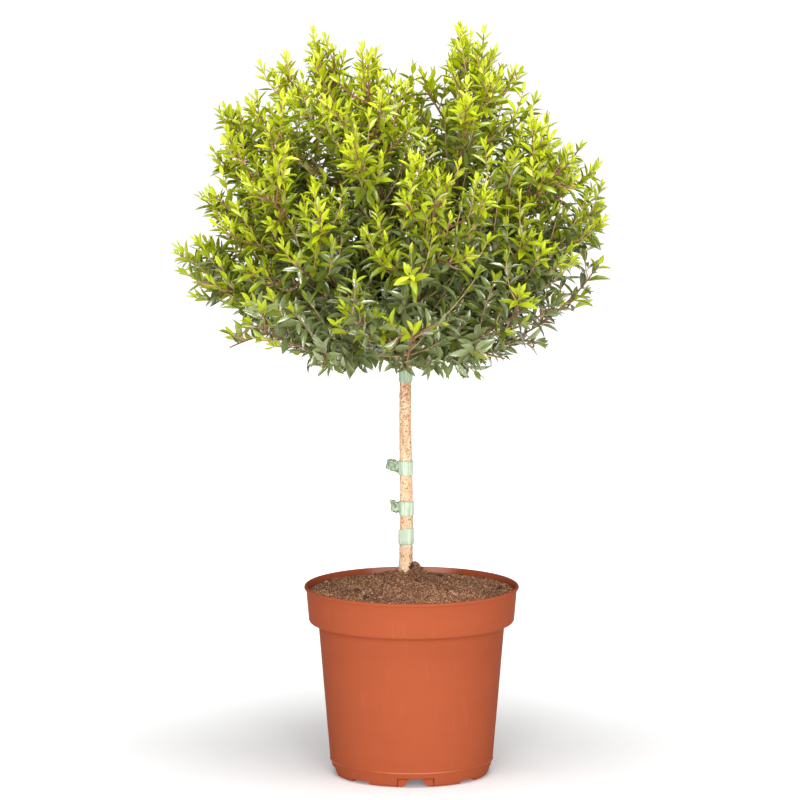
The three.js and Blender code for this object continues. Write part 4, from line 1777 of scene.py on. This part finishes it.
    def side_bough(self, mass: Mass, parent: Curve, share: float) -> Curve:
        """A bough that grows out of its parent's side.

        Args:
            mass: the mass that it carries.
            parent: the bough that it grows from.
            share: the share of the way along the parent.

        Returns:
            The bough.
        """
        origin, axis = parent.at(share), parent.along(share)
        tip = self.knuckle + mass.way * (mass.size * self.bough_entry)
        way = (tip - origin).normalized()
        angle = max(radians(self.side_angle), way.angle(axis))
        side = (way - axis * way.dot(axis)).normalized()
        out = axis * cos(angle) + side * sin(angle)
        return self.bough(mass, origin, out, parent.radius(share) * self.side_radius)

    def plan_boughs(self) -> list[tuple[Mass, Curve]]:
        """Lays out the shoulder boughs and a leader first, then their side boughs.

        Returns:
            Every mass with its bough.
        """

        def of_tier(name: str) -> list[Mass]:
            """The masses of one tier."""
            return [mass for mass in self.masses if mass.tier == name]

        shoulders = []
        for mass in of_tier("shoulder"):
            flat = Vector((mass.way.x, mass.way.y, 0.0)).normalized()
            out = (flat + UP * self.bough_rise).normalized()
            start = self.knuckle + out * self.bough_root
            shoulders.append((mass, self.bough(mass, start, out, self.bough_radius)))
        leader_mass, *top_masses = of_tier("top")
        start = self.knuckle + UP * self.bough_root
        leader = self.bough(leader_mass, start, UP, self.bough_radius)
        boughs = [*shoulders, (leader_mass, leader)]
        for mass in of_tier("skirt"):
            parent = min(shoulders, key=lambda pair: pair[0].way.angle(mass.way))[1]
            boughs.append((mass, self.side_bough(mass, parent, self.skirt_place)))
        for i, mass in enumerate(top_masses):
            place = self.top_place + self.top_step * i
            boughs.append((mass, self.side_bough(mass, leader, place)))
        return boughs

    def stem(self, mass: Mass, bough: Curve) -> Curve:
        """The leading stem of a mass, on from its bough towards the outline.

        Args:
            mass: the mass.
            bough: the bough that carries it.

        Returns:
            The stem.
        """
        start, along = bough.end, bough.along(1.0)
        aim = (mass.way + UP * self.stem_rise).normalized()
        end = self.knuckle + aim * (self.reach(aim) - self.stem_short)
        middle = start + along * ((end - start).length * 0.5)
        return Curve(start, middle, end, bough.tip_radius, self.stem_tip_radius)

    def twig(self, stem: Curve, tip: Vector, short: float) -> Curve:
        """A twig from a mass's stem towards a tip on the outline.

        Args:
            stem: the stem that it leaves, as far on as its angle to the stem allows.
            tip: the tip.
            short: how far it stops short of the tip.

        Returns:
            The twig.
        """
        root = stem.at(self.twig_first)
        t = self.twig_first + self.twig_step
        while t < self.twig_last:
            here = stem.at(t)
            if (tip - here).angle(stem.along(t)) > radians(self.twig_angle):
                break
            root = here
            t += self.twig_step
        span = tip - root
        out = (span.normalized() + UP * self.twig_lift).normalized()
        end = tip - out * short
        middle = end - out * (self.twig_bend * (end - root).length)
        middle.z = max(middle.z, self.underside(middle) + self.twig_hold)
        return Curve(root, middle, end, self.twig_radius, self.twig_tip_radius)


# ---- shoots and leaves


@dataclass(frozen=True)
class Wood:
    """How limbs of one age are made, with the length of a step along them.

    starts are the beginnings of the names of the solids that they replace.
    """

    name: str
    sides: int
    relief: float
    step: float
    finish: FlakyBark | PlainFinish
    starts: tuple[str, ...] = ("foliage_",)


class WoodKind(Enum):
    """Limbs by their age."""

    BOUGH = Wood(
        name="boughs",
        sides=14,
        relief=0.00045,
        step=3.0,
        finish=FlakyBark("bough_bark", (186, 132, 98), (150, 96, 68), (98, 62, 44)),
        starts=("bough_", "foliage_"),
    )
    TWIG = Wood(
        name="twigs",
        sides=6,
        relief=0.00012,
        step=9.0,
        finish=FlakyBark("twig_bark", (184, 132, 96), (154, 100, 72), (110, 72, 50)),
    )
    SHOOT = Wood(
        name="shoots",
        sides=4,
        relief=0.0,
        step=9.0,
        finish=PlainFinish("shoot_rind", (188, 150, 106), 0.5),
    )


# The least light of each tone, for leaves that never turn dull and for those that may.
BRIGHT = {LeafTone.TIP: 0.86, LeafTone.LIME: 0.71, LeafTone.FRESH: 0.57, LeafTone.MID: 0.45}
DARK = {LeafTone.OLIVE: 0.33, LeafTone.DEEP: 0.2}


@dataclass(frozen=True)
class Toning:
    """What makes a leaf's colour light: its height, its place outwards and its youth.

    Leaves low on the right are darker. The height term is partly the young growth's own brighter
    colour at the top and partly painted light from above; the outward term and the darkening low on
    the right are painted shade inside the head and on its lower right; youth and the spray's chance
    are the leaves' own colour. dull_band is the height over which dull leaves end.
    """

    base: float = 0.05
    height: float = 0.29
    out: float = 0.2
    out_start: float = 0.4
    out_extent: float = 0.5
    young: float = 0.36
    young_inside: float = 0.35
    young_pairs: float = 3.2
    right: float = 0.16
    right_width: float = 300.0
    scatter: float = 0.07
    dull_most: float = 0.9
    dull_right: float = 0.12
    dull_band: Pair = (0.05, 0.45)


@dataclass(frozen=True)
class PairHabit:
    """How pairs of leaves stand on a shoot, from its young tip down.

    A leaf opens from the first angle at the tip to the second on grown wood.
    """

    tip_gap: float = 0.2
    young_step: float = 4.0
    step: float = 7.8
    step_pairs: float = 3.0
    opening: Pair = (16.0, 62.0)
    opening_pairs: float = 2.5
    opening_power: float = 0.6
    opening_scatter: float = 12.0
    spin_scatter: float = 0.3
    rise_scatter: float = 0.14
    tip_pairs: int = 3
    length: float = 17.0
    width: float = 0.325
    young_size: float = 0.5
    growing_start: float = 0.6
    growing_pairs: float = 3.6
    low_size: float = 1.18
    high_size: float = 0.96
    size_band: Pair = (0.1, 0.6)
    face_rise: float = 0.3
    face_scatter: float = 0.35
    edge_on: float = 0.97


@dataclass
class LeafSpot:
    """One leaf: where it grows, which way it points and faces, and its size."""

    root: Vector
    way: Vector
    face: Vector
    length: float
    width: float

    def turn(self) -> Euler:
        """How the leaf is turned from +Y ahead and +Z up.

        Returns:
            The turn.
        """
        side = self.way.cross(self.face).normalized()
        top = side.cross(self.way)
        return Matrix((side, self.way, top)).transposed().to_euler()


@dataclass
class Head:
    """The living head: boughs, twigs and shoots with opposite pairs of small leaves.

    The spreads, shoot_gap, shoot_size, twig_short and hang are a least value and what chance
    adds to it. The other pairs are the ends of a range.
    """

    plan: HeadPlan
    pairs: PairHabit = PairHabit()
    toning: Toning = Toning()
    spray_scatter: float = 0.15
    size_spread: Pair = (0.84, 0.32)
    step_spread: Pair = (0.88, 0.24)
    hang: Pair = (-9.0, 21.0)
    tip_hang: float = 9.0
    clear_stem: float = 26.0
    clear_band: Pair = (12.0, 44.0)
    vigour: Pair = (0.85, 1.3)
    limb_vigour: float = 1.25
    shoot_bare: float = 0.08
    twig_bare: float = 0.4
    stem_bare: float = 0.6
    shoot_step: float = 4.6
    stem_step: float = 4.0
    bough_step: float = 3.4
    bough_first: float = 0.15
    twig_first: float = 0.1
    shoot_last: float = 0.88
    shoot_gap: Pair = (0.8, 0.4)
    shoot_size: Pair = (0.75, 0.5)
    shoot_angle: float = 46.0
    shoot_scatter: float = 12.0
    shoot_longest: float = 92.0
    shoot_shortest: float = 34.0
    shoot_least: float = 0.45
    shoot_aim: Pair = (0.4, 0.45)
    shoot_rise: Pair = (0.05, 1.05)
    rise_band: Pair = (0.04, 0.4)
    shoot_margin: float = 7.0
    shoot_shrink: float = 0.85
    shoot_bend: float = 0.38
    shoot_tries: int = 7
    shoot_clear: float = 3.0
    shoot_radius: float = 0.78
    shoot_tip_radius: float = 0.42
    body: float = 0.77
    body_power: float = 1.8
    sparse_start: Pair = (0.58, 0.4)
    sparse_end: float = 0.85
    sparse_most: Pair = (0.62, 0.86)
    sparse_band: Pair = (0.05, 0.35)
    twig_short: Pair = (11.0, 28.0)
    twig_power: float = 1.6
    headroom: float = 8.0
    seed: int = 79
    bark_seed: int = 3
    limbs: dict[WoodKind, list[Curve]] = field(default_factory=dict)
    leaves: dict[LeafTone, list[LeafSpot]] = field(default_factory=dict)

    def __post_init__(self) -> None:
        """Grows the whole head."""
        self.random = seeded(self.seed)
        for kind in WoodKind:
            self.limbs[kind] = []
        for tone in LeafTone:
            self.leaves[tone] = []
        self.grow()

    def spread(self, size: float) -> float:
        """A random number either side of nothing."""
        return (self.random() * 2.0 - 1.0) * size

    def over(self, least: float, extent: float) -> float:
        """A random number from the least, over an extent."""
        return least + extent * self.random()

    def height(self, point: Vector) -> float:
        """Height in the head, from 0 at its underside to 1 at its top."""
        return clamp((point.z - self.plan.floor) / (self.plan.top_reach + self.headroom))

    def tone(self, point: Vector, age: float, spray: float) -> LeafTone:
        """The colour of a leaf by its place, its age and its spray.

        Args:
            point: where it grows.
            age: 0 for the youngest pair of its shoot, and more for each pair down it.
            spray: how much lighter its whole spray is.

        Returns:
            The tone.
        """
        by = self.toning
        out = clamp((self.plan.share(point) - by.out_start) / by.out_extent)
        height = self.height(point)
        young = exp(-age / by.young_pairs) * lerp(by.young_inside, 1.0, out)
        right = clamp(0.5 + point.x / by.right_width)
        # Height is partly painted light from above; the outward and right-hand terms are painted
        # shade; youth and spray are the leaves' own colour.
        light = by.base + by.height * height + by.out * out + by.young * young
        light -= by.right * right * (1.0 - height)
        light += spray + self.spread(by.scatter)
        for tone, least in BRIGHT.items():
            if light > least:
                return tone
        dull = smoothstep(height - by.dull_right * right, *by.dull_band)
        if self.random() < lerp(by.dull_most, 0.0, dull):
            return LeafTone.DULL
        for tone, least in DARK.items():
            if light > least:
                return tone
        return LeafTone.SHADED

    def sparse(self, point: Vector) -> float:
        """The share of the shoots that is missing: more of them outside and low down.

        Args:
            point: where a shoot ends.

        Returns:
            The share.
        """
        low = 1.0 - smoothstep(self.height(point), *self.sparse_band)
        start = lerp(*self.sparse_start, low)
        outer = smoothstep(self.plan.share(point), start, self.sparse_end)
        return outer * lerp(*self.sparse_most, low)

    def lowest(self, point: Vector) -> float:
        """The lowest height of leaves at a place: the underside, raised round the stem."""
        near = 1.0 - smoothstep(self.plan.aside(point), *self.clear_band)
        return self.plan.underside(point) + self.clear_stem * near

    def leaf_out(self, limb: Curve, bare: float, vigour: float) -> None:
        """Sets opposite pairs down a limb from its tip, each a quarter turn on.

        Args:
            limb: the shoot, twig or stem.
            bare: the share of its length that carries no leaves.
            vigour: how much further apart the pairs are than usual.
        """
        habit = self.pairs
        length = limb.length()
        turn = self.random() * pi
        spray = self.spread(self.spray_scatter)
        hang = self.hang[1] * self.random() ** 2 + self.hang[0]
        back, pair = habit.tip_gap, 0
        while back < length * (1.0 - bare):
            t = 1.0 - back / length
            along = limb.along(t)
            across = along.cross(Vector((0.6, 0.8, 0.0)))
            if across.length < 0.2:
                across = along.cross(UP)
            across.normalize()
            for half in (0.0, pi):
                spin = turn + half + pair * pi / 2.0 + self.spread(habit.spin_scatter)
                out = Matrix.Rotation(spin, 3, along) @ across
                root = limb.at(t) + out * limb.radius(t) * 0.6
                self.add_leaf(root, along, out, pair, spray, hang)
            step = lerp(habit.young_step, habit.step, min(1.0, pair / habit.step_pairs))
            back += step * vigour * self.over(*self.step_spread)
            pair += 1

    def add_leaf(
        self, root: Vector, along: Vector, out: Vector, pair: int, spray: float, hang: float
    ) -> None:
        """Adds one leaf, unless it would hang too low.

        Args:
            root: where it grows.
            along: the direction of its limb.
            out: the direction out of the limb.
            pair: how many pairs are younger on its limb.
            spray: how much lighter its whole spray is.
            hang: how far its spray may hang under the head.
        """
        habit = self.pairs
        share = min(1.0, pair / habit.opening_pairs) ** habit.opening_power
        opening = lerp(*habit.opening, share)
        angle = radians(opening + self.spread(habit.opening_scatter))
        way = along * cos(angle) + out * sin(angle)
        way = (way + UP * self.spread(habit.rise_scatter)).normalized()
        low = self.lowest(root) - hang
        if pair < habit.tip_pairs:
            low -= self.tip_hang
        if way.z < 0.0 and root.z + way.z * habit.length < low:
            return
        grown = clamp((pair + habit.growing_start) / habit.growing_pairs)
        size = habit.length * lerp(habit.young_size, 1.0, grown) * self.over(*self.size_spread)
        height = smoothstep(self.height(root), *habit.size_band)
        size *= lerp(habit.low_size, habit.high_size, height)
        face = (along + UP * habit.face_rise + out * self.spread(habit.face_scatter)).normalized()
        if abs(face.dot(way)) > habit.edge_on:
            face = out
        width = size * habit.width * self.over(*self.size_spread)
        tone = self.tone(root, pair, spray)
        self.leaves[tone].append(LeafSpot(root, way, face, size, width))

    def shoot(self, root: Vector, out: Vector, length: float) -> None:
        """Grows a leafy shoot that turns up, within the outline.

        Args:
            root: where it starts.
            out: the direction that it starts in.
            length: its length, where there is room for it.
        """
        ray = (root - self.plan.knuckle).normalized()
        rise = lerp(*self.shoot_rise, smoothstep(self.height(root), *self.rise_band))
        ahead, outward = self.shoot_aim
        aim = (out * ahead + ray * outward + UP * rise).normalized()
        limit = self.body + (1.0 - self.body) * self.random() ** self.body_power
        bend = self.shoot_bend
        for _ in range(self.shoot_tries):
            end = root + (out * bend + aim * (1.0 - bend)) * length
            inside = self.plan.share(end + aim * self.shoot_margin) < limit
            if inside and end.z > self.lowest(end) + self.shoot_clear:
                break
            length *= self.shoot_shrink
        least = self.shoot_shortest * self.shoot_least
        if length < least or self.random() < self.sparse(end):
            return
        middle = root + out * length * bend
        limb = Curve(root, middle, end, self.shoot_radius, self.shoot_tip_radius)
        self.limbs[WoodKind.SHOOT].append(limb)
        self.leaf_out(limb, self.shoot_bare, lerp(*self.vigour, self.random()))

    def side_shoots(self, limb: Curve, first: float, step: float) -> None:
        """Grows shoots round a limb, spiralling by the golden angle.

        Args:
            limb: the limb.
            first: the share of its length where they start.
            step: how far apart they are.
        """
        length = limb.length()
        place = first * length
        turn = self.random() * 2.0 * pi
        while place < length * self.shoot_last:
            t = place / length
            along = limb.along(t)
            across = along.cross(Vector((0.3, 0.2, 1.0))).normalized()
            out = Matrix.Rotation(turn, 3, along) @ across
            angle = radians(self.shoot_angle + self.spread(self.shoot_scatter))
            way = along * cos(angle) + out * sin(angle)
            size = lerp(self.shoot_longest, self.shoot_shortest, t)
            self.shoot(limb.at(t), way, size * self.over(*self.shoot_size))
            place += step * self.over(*self.shoot_gap)
            turn += GOLDEN_ANGLE

    def grow(self) -> None:
        """Grows boughs, stems, twigs, shoots and leaves in order."""
        least, extent = self.twig_short
        for mass, bough in self.plan.boughs:
            stem = self.plan.stem(mass, bough)
            self.limbs[WoodKind.BOUGH] += [bough, stem]
            self.leaf_out(stem, self.stem_bare, self.limb_vigour)
            self.side_shoots(stem, 0.0, self.stem_step)
            self.side_shoots(bough, self.bough_first, self.bough_step)
            for tip in mass.tips:
                short = least + extent * self.random() ** self.twig_power
                twig = self.plan.twig(stem, tip, short)
                self.limbs[WoodKind.TWIG].append(twig)
                self.leaf_out(twig, self.twig_bare, self.limb_vigour)
                self.side_shoots(twig, self.twig_first, self.shoot_step)

    def limb_rule(self) -> GeometryRule:
        """Turns lines with a thickness into closed round limbs with a bark relief.

        Returns:
            The rule.
        """
        inputs = {"Sides": "NodeSocketInt", "Relief": "NodeSocketFloat", "Seed": "NodeSocketInt"}
        rule = GeometryRule("round_limbs", inputs)
        lines = rule.node("GeometryNodeMeshToCurve", {}, {"Mesh": rule.given("Geometry")})
        values = {"Resolution": rule.given("Sides"), "Radius": 1.0}
        ring = rule.node("GeometryNodeCurvePrimitiveCircle", {}, values)
        thick = rule.named("thick")
        values = {"Curve": lines, "Profile Curve": ring, "Scale": thick, "Fill Caps": True}
        tubes = rule.node("GeometryNodeCurveToMesh", {}, values)
        values = {"W": rule.given("Seed"), "Scale": 420.0, "Detail": 3.0}
        bark = rule.node("ShaderNodeTexNoise", {"noise_dimensions": "4D"}, values)
        push = (bark - 0.5) * rule.given("Relief")
        values = {0: rule.node("GeometryNodeInputNormal"), "Scale": push}
        offset = rule.node("ShaderNodeVectorMath", {"operation": "SCALE"}, values)
        rough = rule.node("GeometryNodeSetPosition", {}, {"Geometry": tubes, "Offset": offset})
        rule.finish(rule.node("GeometryNodeSetShadeSmooth", {}, {0: rough}))
        return rule

    def build_limbs(self) -> None:
        """Makes one piece of each kind of wood."""
        rule = self.limb_rule()
        for kind, limbs in self.limbs.items():
            wood = kind.value
            points: list[Vector] = []
            edges: list[tuple[int, int]] = []
            thick: list[float] = []
            for limb in limbs:
                steps = max(3, int(limb.length() / wood.step))
                first = len(points)
                for i in range(steps + 1):
                    points.append(limb.at(i / steps) * MM)
                    thick.append(limb.radius(i / steps) * MM)
                edges += [(first + i, first + i + 1) for i in range(steps)]
            mesh = bpy.data.meshes.new(f"{wood.name}_lines")
            mesh.from_pydata(points, edges, [])
            mesh.attributes.new("thick", "FLOAT", "POINT").data.foreach_set("value", thick)
            piece = rule.run(
                add_object(f"{wood.name}_lines", mesh),
                wood.name,
                wood.finish.material(),
                Sides=wood.sides,
                Relief=wood.relief,
                Seed=self.bark_seed,
            )
            dress(piece, nodes_named(*wood.starts))

    def leaf_rule(self) -> GeometryRule:
        """Sets a copy of one leaf on each point, turned and sized by the point.

        Returns:
            The rule.
        """
        rule = GeometryRule("set_leaves", {"Leaf": "NodeSocketObject"})
        leaf = rule.node("GeometryNodeObjectInfo", {}, {"Object": rule.given("Leaf")}, "Geometry")
        turn = rule.named("turn", "FLOAT_VECTOR")
        values = {
            "Points": rule.given("Geometry"),
            "Instance": leaf,
            "Rotation": rule.node("FunctionNodeEulerToRotation", {}, {0: turn}),
            "Scale": rule.named("size", "FLOAT_VECTOR"),
        }
        rule.finish(rule.node("GeometryNodeInstanceOnPoints", {}, values))
        return rule

    def build_leaves(self) -> None:
        """Makes one piece of leaves for each tone."""
        rule = self.leaf_rule()
        forms = {shape: shape.value.build() for shape in LeafShape}
        for tone, spots in self.leaves.items():
            name = f"leaves_{tone.name.lower()}"
            mesh = bpy.data.meshes.new(f"{name}_spots")
            mesh.from_pydata([spot.root * MM for spot in spots], [], [])
            turns = [angle for spot in spots for angle in spot.turn()]
            sizes = [v * MM for s in spots for v in (s.width, s.length, s.length)]
            for label, numbers in (("turn", turns), ("size", sizes)):
                layer = mesh.attributes.new(label, "FLOAT_VECTOR", "POINT")
                layer.data.foreach_set("vector", numbers)
            source = add_object(f"{name}_spots", mesh)
            finish, shape = tone.value
            piece = rule.run(source, name, finish.material(), Leaf=forms[shape])
            dress(piece, nodes_named("foliage_"))
        for form in forms.values():
            bpy.data.objects.remove(form)

    def build(self) -> None:
        """Makes the wood and the leaves."""
        self.build_limbs()
        self.build_leaves()


# ---- studio


@dataclass
class Studio:
    """A pale floor, soft lights and the camera."""

    aim: Vector = field(default_factory=lambda: Vector((-0.0102, 0.0, 0.3339)))
    distance: float = 6.0
    pitch: float = 8.7
    lens: float = 306.8
    sensor: float = 36.0
    farthest: float = 100.0
    floor_size: float = 60.0
    floor_grey: float = 0.8
    floor_roughness: float = 0.6
    floor_glow: float = 0.8
    near_glow: float = 0.2
    glow_behind: Pair = (0.0, 1.2)
    glow_away: Pair = (0.9, 2.2)
    air_glow: float = 0.3

    def floor(self) -> None:
        """Makes a large pale floor, which glows white behind the plant and far from it."""
        grey, near = ((v, v, v, 1.0) for v in (self.floor_grey, self.near_glow))
        s = Shader("studio_floor")
        lit = s.axis("Y").band(*self.glow_behind) + s.length(s.place).band(*self.glow_away)
        material = s.surface(
            Base_Color=grey,
            Roughness=self.floor_roughness,
            Emission_Color=s.mix(lit, near, WHITE),
            Emission_Strength=self.floor_glow,
        )
        half = self.floor_size / 2.0
        corners = [(-half, -half, 0), (half, -half, 0), (half, half, 0), (-half, half, 0)]
        floor = mesh_object("studio_floor", corners, [(0, 1, 2, 3)], material)

    def light(self, name: str, place: Sequence[float], size: float, power: float) -> None:
        """Adds one square soft light that faces the plant.

        Args:
            name: its name.
            place: where it hangs.
            size: its side in metres.
            power: its power in watts.
        """
        lamp = bpy.data.lights.new(name, "AREA")
        lamp.shape, lamp.size, lamp.energy = "SQUARE", size, power
        made = bpy.data.objects.new(name, lamp)
        made.location = place
        aim = self.aim - Vector(place)
        made.rotation_euler = aim.to_track_quat("-Z", "Y").to_euler()
        bpy.context.scene.collection.objects.link(made)

    def build(self) -> None:
        """Sets up the floor, the lights and the camera."""
        self.floor()
        world = bpy.data.worlds.new("studio_air")
        world.use_nodes = True
        air = world.node_tree.nodes["Background"]
        air.inputs["Color"].default_value = WHITE
        air.inputs["Strength"].default_value = self.air_glow
        bpy.context.scene.world = world
        bpy.context.scene.view_settings.view_transform = "Standard"
        self.light("front_light", (0.05, -2.8, 1.0), 1.7, 78.0)
        self.light("top_light", (0.0, -0.6, 2.4), 1.2, 54.0)
        camera = bpy.data.cameras.new("camera")
        camera.lens, camera.sensor_width = self.lens, self.sensor
        camera.clip_end = self.farthest
        made = bpy.data.objects.new("camera", camera)
        angle = radians(self.pitch)
        away = Vector((0.0, -cos(angle), sin(angle)))
        made.location = self.aim + away * self.distance
        made.rotation_euler = (-away).to_track_quat("-Z", "Y").to_euler()
        bpy.context.scene.collection.objects.link(made)
        bpy.context.scene.camera = made


def main() -> None:
    """Builds the plant from the pot up."""
    logging.basicConfig(level=logging.INFO, format="%(name)s: %(message)s")
    pot = Pot()
    pot.build()
    stem = Stem()
    Soil(pot, stem.foot).build()
    stem.build()
    tape = TyingTape("tape_mint", (214, 226, 200), (152, 178, 148)).material()
    shaded = TyingTape("tape_shaded", (178, 198, 166), (122, 148, 120)).material()
    Tie("tie_lower", stem, tape, slant=1.6).build()
    Tie("tie_middle", stem, tape, knot=8.5, lobe=0.2).build()
    Tie("tie_upper", stem, tape, knot=12.0).build()
    Tie("tie_top", stem, shaded).build()
    head = Head(HeadPlan(stem.knuckle))
    LOG.info("leaves: %d", sum(len(spots) for spots in head.leaves.values()))
    head.build()
    Studio().build()


if __name__ == "__main__":
    main()
